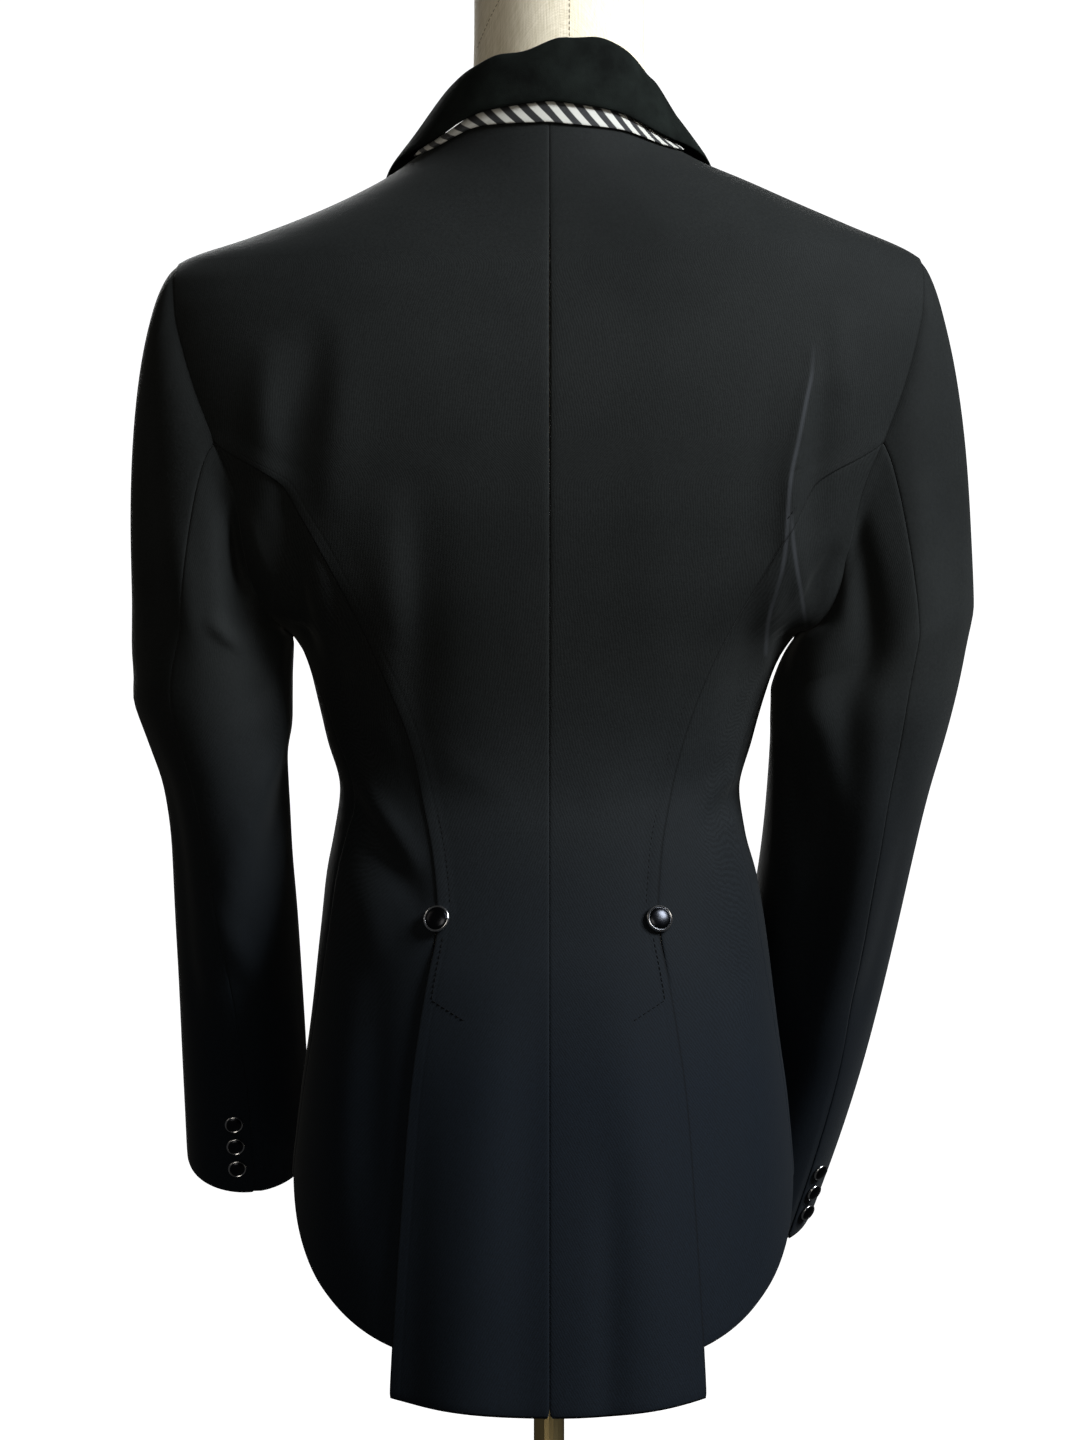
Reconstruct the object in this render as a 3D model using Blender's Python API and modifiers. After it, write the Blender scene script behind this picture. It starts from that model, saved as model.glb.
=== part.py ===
# Tailored show jacket for riding, worn on a limbless dress form on a round pole stand.
# Metres, +Z up. The wearer faces -Y and the wearer's left is +X.
# The origin is the centre of the base's underside, on the pole's axis.

import math
from collections import namedtuple

import bpy
import bmesh
from mathutils import Vector

CLOTH = 0.0016              # wall of the jacket's cloth
VELVET = 0.0022             # wall of the collar
BAND = 0.0012               # wall of the striped band
SEAM_GAP = 0.0004           # clear space between two pieces at a seam
RIGHT_SHOULDER = 0.0095     # the right shoulder stands this much higher than the table
SHOULDER_REACH = 0.2450
NUDGE = 0.001               # step used to measure the slope of the body's surface

# The body is a stack of level rings. Each ring is two half ovals that share one width:
# "square" above 2 makes an oval fuller, "shift" carries both sides towards +X.
Ring = namedtuple("Ring", "height half_width back front back_square front_square shift")
BODY = [
    Ring(0.640, 0.1500, 0.1560, 0.1120, 2.20, 2.10, 0.0030),
    Ring(0.740, 0.1495, 0.1480, 0.1140, 2.20, 2.10, 0.0035),
    Ring(0.800, 0.1472, 0.1390, 0.1150, 2.20, 2.10, 0.0035),
    Ring(0.850, 0.1425, 0.1290, 0.1145, 2.20, 2.10, 0.0030),
    Ring(0.890, 0.1370, 0.1190, 0.1120, 2.20, 2.10, 0.0030),
    Ring(0.950, 0.1300, 0.1020, 0.1070, 2.20, 2.10, 0.0035),
    Ring(0.980, 0.1258, 0.0930, 0.1040, 2.20, 2.10, 0.0045),
    Ring(1.003, 0.1205, 0.0870, 0.1010, 2.20, 2.10, 0.0055),
    Ring(1.030, 0.1170, 0.0820, 0.0990, 2.20, 2.10, 0.0055),
    Ring(1.056, 0.1240, 0.0830, 0.1020, 2.25, 2.10, 0.0055),
    Ring(1.080, 0.1302, 0.0870, 0.1080, 2.30, 2.10, 0.0050),
    Ring(1.102, 0.1370, 0.0910, 0.1160, 2.35, 2.10, 0.0040),
    Ring(1.122, 0.1500, 0.0950, 0.1220, 2.40, 2.10, 0.0030),
    Ring(1.1255, 0.1610, 0.0960, 0.1230, 2.40, 2.10, 0.0030),
    Ring(1.136, 0.1780, 0.0985, 0.1255, 2.40, 2.10, 0.0025),
    Ring(1.154, 0.1920, 0.1010, 0.1280, 2.40, 2.10, 0.0020),
    Ring(1.200, 0.2160, 0.1060, 0.1280, 2.40, 2.10, 0.0010),
    Ring(1.250, 0.2330, 0.1060, 0.1170, 2.40, 2.10, 0.0000),
    Ring(1.283, 0.2365, 0.1025, 0.1060, 2.40, 2.10, 0.0000),
    Ring(1.306, 0.2355, 0.0985, 0.0970, 2.35, 2.10, 0.0000),
    Ring(1.323, 0.2310, 0.0945, 0.0890, 2.25, 2.05, 0.0000),
    Ring(1.337, 0.2160, 0.0905, 0.0830, 2.15, 2.00, 0.0000),
    Ring(1.350, 0.1790, 0.0865, 0.0785, 2.10, 2.00, 0.0000),
    Ring(1.362, 0.1470, 0.0825, 0.0750, 2.05, 2.00, 0.0000),
    Ring(1.375, 0.1175, 0.0780, 0.0715, 2.00, 2.00, 0.0000),
    Ring(1.390, 0.0900, 0.0725, 0.0680, 2.00, 2.00, 0.0000),
    Ring(1.400, 0.0780, 0.0695, 0.0660, 2.00, 2.00, 0.0000),
    Ring(1.415, 0.0700, 0.0650, 0.0640, 2.00, 2.00, 0.0000),
    Ring(1.440, 0.0640, 0.0590, 0.0620, 2.00, 2.00, 0.0000),
]

# Seam between the back and side panels, then the free edge of the tail: distance from centre.
SeamPoint = namedtuple("SeamPoint", "height from_centre")
SIDE_BACK_SEAM = [
    SeamPoint(0.640, 0.0890), SeamPoint(0.685, 0.0875), SeamPoint(0.745, 0.0845),
    SeamPoint(0.794, 0.0815), SeamPoint(0.850, 0.0775), SeamPoint(0.902, 0.0705),
    SeamPoint(0.926, 0.0665), SeamPoint(0.955, 0.0625), SeamPoint(0.991, 0.0650),
    SeamPoint(1.019, 0.0700), SeamPoint(1.050, 0.0770), SeamPoint(1.078, 0.0860),
    SeamPoint(1.111, 0.1000), SeamPoint(1.135, 0.1130), SeamPoint(1.152, 0.1225),
    SeamPoint(1.170, 0.1320), SeamPoint(1.189, 0.1445), SeamPoint(1.204, 0.1540),
    SeamPoint(1.213, 0.1660), SeamPoint(1.220, 0.1790), SeamPoint(1.2285, 0.1925),
]

# Seam between the side and front panels, as a turn in degrees from centre back.
TurnPoint = namedtuple("TurnPoint", "height turn")
SIDE_SEAM = [
    TurnPoint(0.780, 82.0), TurnPoint(0.870, 78.0), TurnPoint(0.950, 72.0),
    TurnPoint(1.030, 68.0), TurnPoint(1.070, 72.0), TurnPoint(1.100, 80.0),
    TurnPoint(1.122, 90.0), TurnPoint(1.240, 90.0),
]

# Armhole, at even steps of a dial: 90 is the shoulder tip, 0 the back, -90 under the arm.
ARMHOLE_MID = 1.2290
ARMHOLE_HALF = 0.1075
ARMHOLE_STEP = 15
ArmPoint = namedtuple("ArmPoint", "dial back_x front_x")
ARMHOLE = [
    ArmPoint(90, 0.2163, 0.2163), ArmPoint(75, 0.2170, 0.2155), ArmPoint(60, 0.2175, 0.2135),
    ArmPoint(45, 0.2165, 0.2095), ArmPoint(30, 0.2115, 0.2045), ArmPoint(15, 0.2035, 0.1985),
    ArmPoint(0, 0.1925, 0.1910), ArmPoint(-15, 0.1810, 0.1840), ArmPoint(-30, 0.1755, 0.1770),
    ArmPoint(-45, 0.1715, 0.1700), ArmPoint(-60, 0.1650, 0.1630), ArmPoint(-75, 0.1560, 0.1550),
    ArmPoint(-90, 0.1500, 0.1500),
]

# Heights of the edges that the panels end on.
TAIL_HEM = 0.6785
TAIL_HEM_SIDE = 0.6870
LAP_HEM = 0.7080            # side panel's hem under the tail's edge
SIDE_HEM = 0.8020           # side panel's hem at the side seam
FRONT_HEM = 0.8100
FRONT_CORNER = 0.8700       # where the front edge's rounded corner begins
BUTTON_HEIGHT = 0.9550      # waist buttons, at the top of the vents
LIFT_FULL = 0.9150          # where the tail has come clear of the side panels
LAP_START = 0.9150
LAP_FULL = 0.8850
LAP_WIDTH = 0.0280          # how far a side panel runs under the tail
VENT_EASE = 0.0012          # extra room between the edges just below the button
TAIL_LIFT = 0.0032          # how far the tail stands off the side panels
NECK_SIDE = 1.3960
NECK_BACK = 1.4280
BREAK_HEIGHT = 1.1700       # where the lapel starts to turn back
OVERLAP = 0.0150            # each front runs this far past the centre
UNDER_LAP = 0.0028          # the left front lies this far under the right one
ROLL_TOP_X = 0.0800
LAPEL_START = 1.2100
LAPEL_TOP = 1.3560
LAPEL_LIFT = 0.0032         # how far the lapel lies off the front, less this at its fold
LAPEL_TUCK = 0.0010
LAPEL_NARROW = 0.0120       # width at the lapel's lower and upper end
LAPEL_WIDE = 0.0680
LAPEL_DROP = 0.0340         # how far its upper edge falls towards the shoulder
LAPEL_INSET = 0.0015
LAPEL_ROWS = 11
LAPEL_COLUMNS = 5
CORNER_REACH = 0.0600       # how far the front's rounded corner runs towards the side

BACK_COLUMNS = 10
FRONT_COLUMNS = 8
SEAM_ROWS = [0.955, 0.980, 1.005, 1.030, 1.055, 1.080, 1.105, 1.130, 1.152, 1.172, 1.189,
             1.203, 1.213, 1.220, 1.2290]
TAIL_ROWS = [0.0, 0.13, 0.27, 0.41, 0.55, 0.68, 0.79, 0.90]
LAP_ROWS = [0.0, 0.14, 0.30, 0.46, 0.62, 0.75, 0.84, 0.93]
YOKE_ROWS = [0.12, 0.26, 0.42, 0.60, 0.80, 1.0]

# Soft ridges (height above 0) and troughs (below 0) on the back, from upper to lower end.
Fold = namedtuple("Fold", "upper_x upper_z lower_x lower_z width depth")
FOLDS = [
    Fold(-0.150, 1.275, -0.134, 1.185, 0.015, 0.0036),
    Fold(-0.134, 1.185, -0.126, 1.118, 0.015, 0.0040),
    Fold(0.158, 1.262, 0.140, 1.130, 0.013, 0.0035),
    Fold(0.110, 1.215, 0.098, 1.085, 0.016, -0.0025),
    Fold(-0.104, 1.200, -0.094, 1.080, 0.015, -0.0025),
    Fold(0.100, 1.062, 0.060, 1.040, 0.012, -0.0020),
    Fold(-0.100, 1.058, -0.062, 1.036, 0.012, -0.0020),
    Fold(0.030, 0.930, 0.050, 0.660, 0.020, 0.0035),
    Fold(-0.034, 0.930, -0.048, 0.660, 0.018, 0.0030),
    Fold(0.112, 0.920, 0.124, 0.730, 0.016, 0.0030),
    Fold(-0.108, 0.920, -0.122, 0.730, 0.016, 0.0030),
]

# Sleeve rings below the armhole: height and depth of the centre, outer and inner edge as
# distances from the jacket's centre, half depth, how many degrees the ring leans forward,
# and how far its outer edge is tilted up.
# "seam" is the dial position of the back seam.
SleeveRing = namedtuple("SleeveRing", "height outer inner centre_y half_depth lean tilt seam")
LEFT_SLEEVE = [
    SleeveRing(1.114, 0.2440, 0.1525, 0.004, 0.064, 0, 0.024, 17),
    SleeveRing(1.084, 0.2445, 0.1520, 0.006, 0.061, 2, 0.010, 26),
    SleeveRing(1.058, 0.2360, 0.1522, 0.004, 0.059, 8, 0.003, 26),
    SleeveRing(1.032, 0.2260, 0.1530, -0.001, 0.057, 12, 0.0, 24),
    SleeveRing(0.997, 0.2220, 0.1525, -0.012, 0.055, 18, 0.0, 18),
    SleeveRing(0.955, 0.2215, 0.1500, -0.032, 0.053, 22, 0.0, 9),
    SleeveRing(0.910, 0.2205, 0.1480, -0.052, 0.051, 24, 0.0, -1),
    SleeveRing(0.870, 0.2200, 0.1465, -0.070, 0.050, 24, 0.0, -7),
    SleeveRing(0.838, 0.2195, 0.1460, -0.085, 0.050, 24, 0.0, -9),
    SleeveRing(0.806, 0.2190, 0.1460, -0.099, 0.050, 24, 0.0, -10),
]
RIGHT_SLEEVE = [
    SleeveRing(1.108, 0.2490, 0.1395, 0.003, 0.063, 0, 0.024, 20),
    SleeveRing(1.080, 0.2400, 0.1310, 0.003, 0.061, 4, 0.010, 24),
    SleeveRing(1.057, 0.2325, 0.1305, -0.003, 0.059, 11, 0.003, 25),
    SleeveRing(1.032, 0.2245, 0.1295, -0.012, 0.057, 17, 0.0, 25),
    SleeveRing(0.997, 0.2170, 0.1270, -0.029, 0.055, 23, 0.0, 25),
    SleeveRing(0.955, 0.2095, 0.1220, -0.056, 0.053, 28, 0.0, 27),
    SleeveRing(0.910, 0.2010, 0.1150, -0.084, 0.051, 31, 0.0, 29),
    SleeveRing(0.868, 0.1920, 0.1080, -0.109, 0.049, 31, 0.0, 32),
    SleeveRing(0.822, 0.1795, 0.0990, -0.133, 0.048, 31, 0.0, 33),
    SleeveRing(0.770, 0.1625, 0.0870, -0.158, 0.047, 31, 0.0, 34),
]
LEFT_FULLNESS = 0.045        # how far the sleeve head swells out
RIGHT_FULLNESS = 0.033
HEAD_DROP = 0.016           # how the sleeve leaves the armhole: down at the head,
HEAD_BACK = 0.016           # backwards and forwards at the sides,
UNDERARM_IN = 0.002         # in and down under the arm
UNDERARM_DROP = 0.014
UNDERARM_GAP = 0.0022       # extra room between the sleeve and the side under the arm
SETTLE = 0.55               # how straight down the sleeve arrives at its first ring
CAP_ROWS = [0.10, 0.24, 0.42, 0.62, 0.82]
FRONT_SEAM = 195            # dial turn from the back seam to the hidden front seam
SLEEVE_GAP = 0.0008         # seam of the sleeve, wider because its curve is tight
SLIT_ROWS = 3               # lowest rows, where the back seam stands open
SLIT_WIDTH = 0.0012

# Collar stations from centre back to its front end: the neck seam and the fall's edge as a
# turn in degrees and a height, how high the fold stands above the neck seam, and how far
# the fold leans in towards the neck.
Station = namedtuple("Station", "place neck_turn neck_z fall_turn fall_z rise lean")
COLLAR = [
    Station(0, 0, 1.4280, 0, 1.4235, 0.0360, 0.001),
    Station(1, 30, 1.4235, 32, 1.4180, 0.0350, 0.004),
    Station(2, 60, 1.4060, 61, 1.4010, 0.0350, 0.013),
    Station(3, 90, 1.3985, 90, 1.3915, 0.0325, 0.022),
    Station(4, 112, 1.3955, 110, 1.3835, 0.0265, 0.018),
    Station(5, 132, 1.3860, 131, 1.3680, 0.0200, 0.010),
    Station(6, 149, 1.3710, 146, 1.3460, 0.0100, 0.004),
]
COLLAR_STEPS = 26
COLLAR_PROFILE = 8
COLLAR_SHIFT = -0.0080      # the fold's top leans to the wearer's right
HANDLE = 0.75               # a curve's middle reaches this share of the way to its handles
ROLL_INSIDE = 0.0040        # the fold's two handles, in from and out from the neck seam
ROLL_OUTSIDE = 0.0080
BAND_TURN = 72
BAND_STEPS = 16
BAND_LIFT = 0.0011          # extra height of the band over the curve of the neck
BAND_SHOWN = 0.0105         # how much of it shows under the fall at the centre,
BAND_END = 0.0010           # at its ends,
BAND_TUCK = 0.0030          # and how much is hidden

# Dress form: level rings, smaller than the jacket except where it rests, at the shoulders.
FormRing = namedtuple("FormRing", "height half_width back front square shift")
FORM = [
    FormRing(0.7850, 0.1240, 0.1160, 0.0960, 2.20, 0.002),
    FormRing(0.7950, 0.1290, 0.1200, 0.0995, 2.20, 0.002),
    FormRing(0.8400, 0.1300, 0.1170, 0.1005, 2.20, 0.002),
    FormRing(0.8900, 0.1250, 0.1060, 0.0990, 2.20, 0.002),
    FormRing(0.9500, 0.1150, 0.0870, 0.0930, 2.20, 0.003),
    FormRing(1.0000, 0.1060, 0.0740, 0.0870, 2.20, 0.004),
    FormRing(1.0300, 0.1030, 0.0690, 0.0850, 2.20, 0.004),
    FormRing(1.0700, 0.1090, 0.0710, 0.0920, 2.20, 0.004),
    FormRing(1.1220, 0.1230, 0.0810, 0.1060, 2.20, 0.002),
    FormRing(1.1800, 0.1380, 0.0910, 0.1140, 2.20, 0.001),
    FormRing(1.2400, 0.1560, 0.0930, 0.1040, 2.20, 0.000),
    FormRing(1.2900, 0.1720, 0.0880, 0.0890, 2.20, 0.000),
    FormRing(1.3200, 0.1800, 0.0820, 0.0780, 2.10, 0.000),
    FormRing(1.3370, 0.1800, 0.0790, 0.0735, 2.05, 0.000),
    FormRing(1.3460, 0.1700, 0.0775, 0.0715, 2.00, 0.000),
    FormRing(1.3540, 0.1560, 0.0765, 0.0700, 2.00, 0.000),
    FormRing(1.3620, 0.1402, 0.0755, 0.0685, 2.00, 0.000),
    FormRing(1.3700, 0.1220, 0.0730, 0.0670, 2.00, 0.000),
    FormRing(1.3800, 0.1025, 0.0690, 0.0640, 2.00, -0.001),
    FormRing(1.3900, 0.0830, 0.0630, 0.0600, 2.00, -0.002),
    FormRing(1.4000, 0.0680, 0.0580, 0.0560, 2.00, -0.004),
    FormRing(1.4150, 0.0560, 0.0520, 0.0510, 2.00, -0.006),
    FormRing(1.4400, 0.0510, 0.0490, 0.0480, 2.00, -0.006),
    FormRing(1.4800, 0.0500, 0.0490, 0.0480, 2.00, -0.006),
    FormRing(1.5080, 0.0500, 0.0490, 0.0480, 2.00, -0.006),
]
FORM_SIDES = 24
CAP_RADIUS = 0.0515
CAP_HEIGHT = 0.0090

BASE_RADIUS = 0.1700
BASE_HEIGHT = 0.0220
BASE_HUB = 0.0260
POLE_RADIUS = 0.0090
FLANGE_RADIUS = 0.0300
FLANGE_HEIGHT = 0.0080
TURN_STEPS = 28

WAIST_BUTTON = 0.0160
CUFF_BUTTON = 0.0110
FRONT_BUTTON = 0.0190
FRONT_BUTTON_HEIGHTS = [1.1450, 1.0650, 0.9850]
CUFF_BUTTON_PITCH = 0.0150
CUFF_BUTTON_START = 0.0180  # lowest cuff button above the hem
CUFF_BUTTON_INSET = 0.0095  # cuff buttons from the slit
BUTTON_GAP = 0.0003
SEEK = 0.0200               # how far off the cloth the seat of a button is looked for


def clear_scene():
    """Remove the objects that a new file starts with."""
    for leftover in list(bpy.data.objects):
        bpy.data.objects.remove(leftover, do_unlink=True)


def linear(channel):
    """One sRGB channel, 0 to 255, as a linear value."""
    value = channel / 255
    if value <= 0.04045:
        return value / 12.92
    return ((value + 0.055) / 1.055) ** 2.4


def material(name, red, green, blue, roughness, metallic=0.0):
    """A plain Principled material."""
    made = bpy.data.materials.new(name)
    made.use_nodes = True
    shader = made.node_tree.nodes["Principled BSDF"]
    shader.inputs["Base Color"].default_value = (linear(red), linear(green), linear(blue), 1.0)
    shader.inputs["Roughness"].default_value = roughness
    shader.inputs["Metallic"].default_value = metallic
    return made


def smooth(table, key, column, at):
    """Value of a column of a table at a key, on a monotone cubic through its rows."""
    keys = [getattr(row, key) for row in table]
    values = [getattr(row, column) for row in table]
    if keys[0] > keys[-1]:
        keys.reverse()
        values.reverse()
    at = min(max(at, keys[0]), keys[-1])
    last = len(keys) - 1
    i = 0
    while i < last - 1 and at > keys[i + 1]:
        i += 1

    def slope(k):
        return (values[k + 1] - values[k]) / (keys[k + 1] - keys[k])

    def tangent(k):
        if k == 0:
            return slope(0)
        if k == last:
            return slope(last - 1)
        before = slope(k - 1)
        after = slope(k)
        if before * after <= 0:
            return 0.0
        return 2 * before * after / (before + after)

    span = keys[i + 1] - keys[i]
    t = (at - keys[i]) / span
    rise = (3 - 2 * t) * t * t
    lead = t * (1 - t) ** 2
    trail = t * t * (t - 1)
    bend = span * (lead * tangent(i) + trail * tangent(i + 1))
    return values[i] + (values[i + 1] - values[i]) * rise + bend


def step_up(value):
    """Smooth step from 0 to 1 while value goes from 0 to 1."""
    t = min(max(value, 0.0), 1.0)
    return t * t * (3 - 2 * t)


def signed_power(value, power):
    """Power of a number that keeps its sign."""
    return math.copysign(abs(value) ** power, value)


def shoulder_lift(x, height):
    """How much higher the right shoulder is, fading to nothing at the chest and the neck."""
    if x >= 0:
        return 0.0
    across = math.sin(math.pi * min(-x / SHOULDER_REACH, 1.0))
    chest_fade = step_up((height - 1.22) / 0.12)
    neck_fade = step_up((1.42 - height) / 0.05)
    return RIGHT_SHOULDER * across * chest_fade * neck_fade


def ring_point(table, turn, height, back_square, front_square):
    """Point of a level ring. turn is in radians: 0 at the back, +90 degrees on the left."""
    side = math.sin(turn)
    face = math.cos(turn)
    square = smooth(table, "height", back_square if face >= 0 else front_square, height)
    depth = smooth(table, "height", "back" if face >= 0 else "front", height)
    x = smooth(table, "height", "half_width", height) * signed_power(side, 2 / square)
    x += smooth(table, "height", "shift", height) * side * side
    y = depth * signed_power(face, 2 / square)
    return Vector((x, y, height + shoulder_lift(x, height)))


def body_point(turn, height):
    """Point of the jacket's middle surface before folds."""
    return ring_point(BODY, turn, height, "back_square", "front_square")


def body_normal(turn, height):
    """Direction straight out of the jacket's surface."""
    across = body_point(turn + NUDGE, height) - body_point(turn - NUDGE, height)
    up = body_point(turn, height + NUDGE) - body_point(turn, height - NUDGE)
    return up.cross(across).normalized()


def turn_at(from_centre, height, face):
    """Turn where the ring at a height is that far from the centre; face is back or front."""
    half = smooth(BODY, "height", "half_width", height)
    square = smooth(BODY, "height", face + "_square", height)
    turn = math.asin(min(abs(from_centre) / half, 1.0) ** (square / 2))
    if face == "front":
        turn = math.pi - turn
    return turn


def fold_lift(x, z):
    """How far the cloth of the back stands out at a place, from all the folds."""
    lift = 0.0
    for fold in FOLDS:
        run_x = fold.lower_x - fold.upper_x
        run_z = fold.lower_z - fold.upper_z
        length = math.hypot(run_x, run_z)
        along = ((x - fold.upper_x) * run_x + (z - fold.upper_z) * run_z) / length
        across = ((x - fold.upper_x) * run_z - (z - fold.upper_z) * run_x) / length
        ends = step_up(along / length * 4) * step_up((length - along) / length * 4)
        if fold.lower_z < LAP_HEM:
            ends = step_up(along / length * 2)
        lift += fold.depth * ends * math.exp(-(across / fold.width) ** 2)
    return lift


def cloth_point(turn, height, out=0.0):
    """Point of the jacket's middle surface with its folds, moved out by a distance."""
    place = body_point(turn, height)
    if math.cos(turn) > 0:
        out += fold_lift(place.x, place.z) * step_up(math.cos(turn) * 2.5)
    return place + body_normal(turn, height) * out


def add_object(name, mesh, surface):
    """Object for a mesh, in the jacket's collection, with its material and smooth shading."""
    thing = bpy.data.objects.new(name, mesh)
    PIECES.objects.link(thing)
    mesh.materials.append(surface)
    mesh.shade_smooth()
    return thing


def grid_mesh(name, rows, closed=False, ends=False):
    """Mesh lofted through rows of points, closed into a ring or with its ends filled."""
    shape = bmesh.new()
    made = [[shape.verts.new(point) for point in row] for row in rows]
    count = len(rows[0])
    spans = count if closed else count - 1
    for lower, upper in zip(made, made[1:]):
        for i in range(spans):
            k = (i + 1) % count
            shape.faces.new((lower[i], lower[k], upper[k], upper[i]))
    if ends:
        shape.faces.new(list(reversed(made[0])))
        shape.faces.new(made[-1])
    bmesh.ops.recalc_face_normals(shape, faces=shape.faces)
    mesh = bpy.data.meshes.new(name)
    shape.to_mesh(mesh)
    shape.free()
    return mesh


def cloth(name, rows, surface, thickness=CLOTH):
    """Piece of cloth: an open surface through rows, with a wall grown evenly both ways."""
    piece = add_object(name, grid_mesh(name, rows), surface)
    wall = piece.modifiers.new("wall", "SOLIDIFY")
    wall.thickness = thickness
    wall.offset = 0.0
    return piece


def trim(rows, first=0.0, last=0.0, bottom=0.0, top=0.0):
    """Move the edges of a grid of points inwards, square to each edge."""
    def pulled(edge, inner, gap):
        moved = []
        for i, point in enumerate(edge):
            along = edge[min(i + 1, len(edge) - 1)] - edge[max(i - 1, 0)]
            inward = inner[i] - point
            if along.length > 0:
                along.normalize()
                inward = inward - along * inward.dot(along)
            moved.append(point + inward.normalized() * gap)
        return moved

    rows = [list(row) for row in rows]
    if first:
        for row, point in zip(rows, pulled([r[0] for r in rows], [r[1] for r in rows], first)):
            row[0] = point
    if last:
        for row, point in zip(rows, pulled([r[-1] for r in rows], [r[-2] for r in rows], last)):
            row[-1] = point
    if bottom:
        rows[0] = pulled(rows[0], rows[1], bottom)
    if top:
        rows[-1] = pulled(rows[-1], rows[-2], top)
    return rows


def armhole_place(dial):
    """Turn and height of the armhole at a dial position; beyond 90 or -90 is the front."""
    dial = (dial + 180) % 360 - 180
    face = "back"
    if dial > 90:
        dial = 180 - dial
        face = "front"
    elif dial < -90:
        dial = -180 - dial
        face = "front"
    height = ARMHOLE_MID + ARMHOLE_HALF * math.sin(math.radians(dial))
    from_centre = smooth(ARMHOLE, "dial", face + "_x", dial)
    if abs(dial) == 90:
        return math.pi / 2, height
    return turn_at(from_centre, height, face), height


def tail_lift(height):
    """How far the tail has come away from the side panels at a height."""
    return TAIL_LIFT * step_up((BUTTON_HEIGHT - height) / (BUTTON_HEIGHT - LIFT_FULL))


def shoulder_height(share):
    """Height of the shoulder seam, from the tip (0) to the neck (1)."""
    tip = ARMHOLE_MID + ARMHOLE_HALF
    return tip + (NECK_SIDE - tip) * share


def back_rows(side):
    """Rows of a back panel from the hem to the neck, each from the centre seam outwards."""
    rows = []
    half_seam = SEAM_GAP / 2
    for share in TAIL_ROWS:
        row = []
        for i in range(BACK_COLUMNS + 1):
            part = i / BACK_COLUMNS
            hem = TAIL_HEM + (TAIL_HEM_SIDE - TAIL_HEM) * part * part
            height = hem + (BUTTON_HEIGHT - hem) * share
            edge = turn_at(smooth(SIDE_BACK_SEAM, "height", "from_centre", height), height, "back")
            row.append(cloth_point(side * edge * part, height, tail_lift(height)))
        rows.append(row)
    for height in SEAM_ROWS:
        edge = turn_at(smooth(SIDE_BACK_SEAM, "height", "from_centre", height), height, "back")
        if height == SEAM_ROWS[-1]:
            edge, height = armhole_place(0)
        rows.append([cloth_point(side * edge * i / BACK_COLUMNS, height)
                     for i in range(BACK_COLUMNS + 1)])
    for dial in range(ARMHOLE_STEP, 91, ARMHOLE_STEP):
        edge, height = armhole_place(dial)
        rows.append([cloth_point(side * edge * i / BACK_COLUMNS, height)
                     for i in range(BACK_COLUMNS + 1)])
    tip = ARMHOLE_MID + ARMHOLE_HALF
    for share in YOKE_ROWS:
        row = []
        for i in range(BACK_COLUMNS + 1):
            turn = math.pi / 2 * i / BACK_COLUMNS
            seam = shoulder_height(share)
            centre = tip + (NECK_BACK - tip) * share
            height = seam + (centre - seam) * math.cos(turn) ** 2
            row.append(cloth_point(side * turn, height))
        rows.append(row)
    return trim(rows, first=half_seam, last=half_seam)


def lap_width(height):
    """How far the side panel runs under the tail at a height."""
    return LAP_WIDTH * step_up((LAP_START - height) / (LAP_START - LAP_FULL))


def side_seam_turn(height):
    """Turn of the side seam at a height."""
    return math.radians(smooth(SIDE_SEAM, "height", "turn", height))


def side_levels():
    """Rows of a side panel as shares of its height, from the hem to the armhole."""
    full = SEAM_ROWS[-1] - LAP_HEM
    low = [(BUTTON_HEIGHT - LAP_HEM) * share / full for share in LAP_ROWS]
    return low + [(height - LAP_HEM) / full for height in SEAM_ROWS]


def side_edge_turn(height):
    """Turn of the side panel's inner edge: the seam, then the underlap below the button."""
    from_centre = smooth(SIDE_BACK_SEAM, "height", "from_centre", height) - lap_width(height)
    from_centre += VENT_EASE * step_up((BUTTON_HEIGHT - height) / 0.008)
    return turn_at(from_centre, height, "back")


def side_hem(part):
    """Height of a side panel's hem, curving up from the tail to the side seam."""
    return LAP_HEM + (SIDE_HEM - LAP_HEM) * (0.25 * part + 0.75 * part ** 2.2)


def side_rows(side):
    """Rows of a side panel from its hem to the armhole, each from the back seam forwards."""
    dials = list(range(0, -91, -ARMHOLE_STEP))
    last = len(dials) - 1
    rows = []
    for level in side_levels():
        row = []
        for k, dial in enumerate(dials):
            top_turn, top = armhole_place(dial)
            start = side_edge_turn(top)
            top_share = (top_turn - start) / (side_seam_turn(top) - start)
            height = side_hem(k / last) + (top - side_hem(k / last)) * level
            share = k / last + (top_share - k / last) * level ** 3
            if k == 0:
                share = 0.0
            edge = side_edge_turn(height)
            turn = edge + (side_seam_turn(height) - edge) * share
            if k == 0 and level == 1:
                turn = top_turn
            row.append(cloth_point(side * turn, height))
        rows.append(row)
    return trim(rows, first=SEAM_GAP / 2, last=SEAM_GAP / 2, top=SEAM_GAP / 2)


def roll_x(height):
    """Distance of the lapel's fold from the centre; below the break it is the front edge."""
    if height <= BREAK_HEIGHT:
        return -OVERLAP
    share = (height - BREAK_HEIGHT) / (NECK_SIDE - BREAK_HEIGHT)
    return -OVERLAP + (ROLL_TOP_X + OVERLAP) * share


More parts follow.
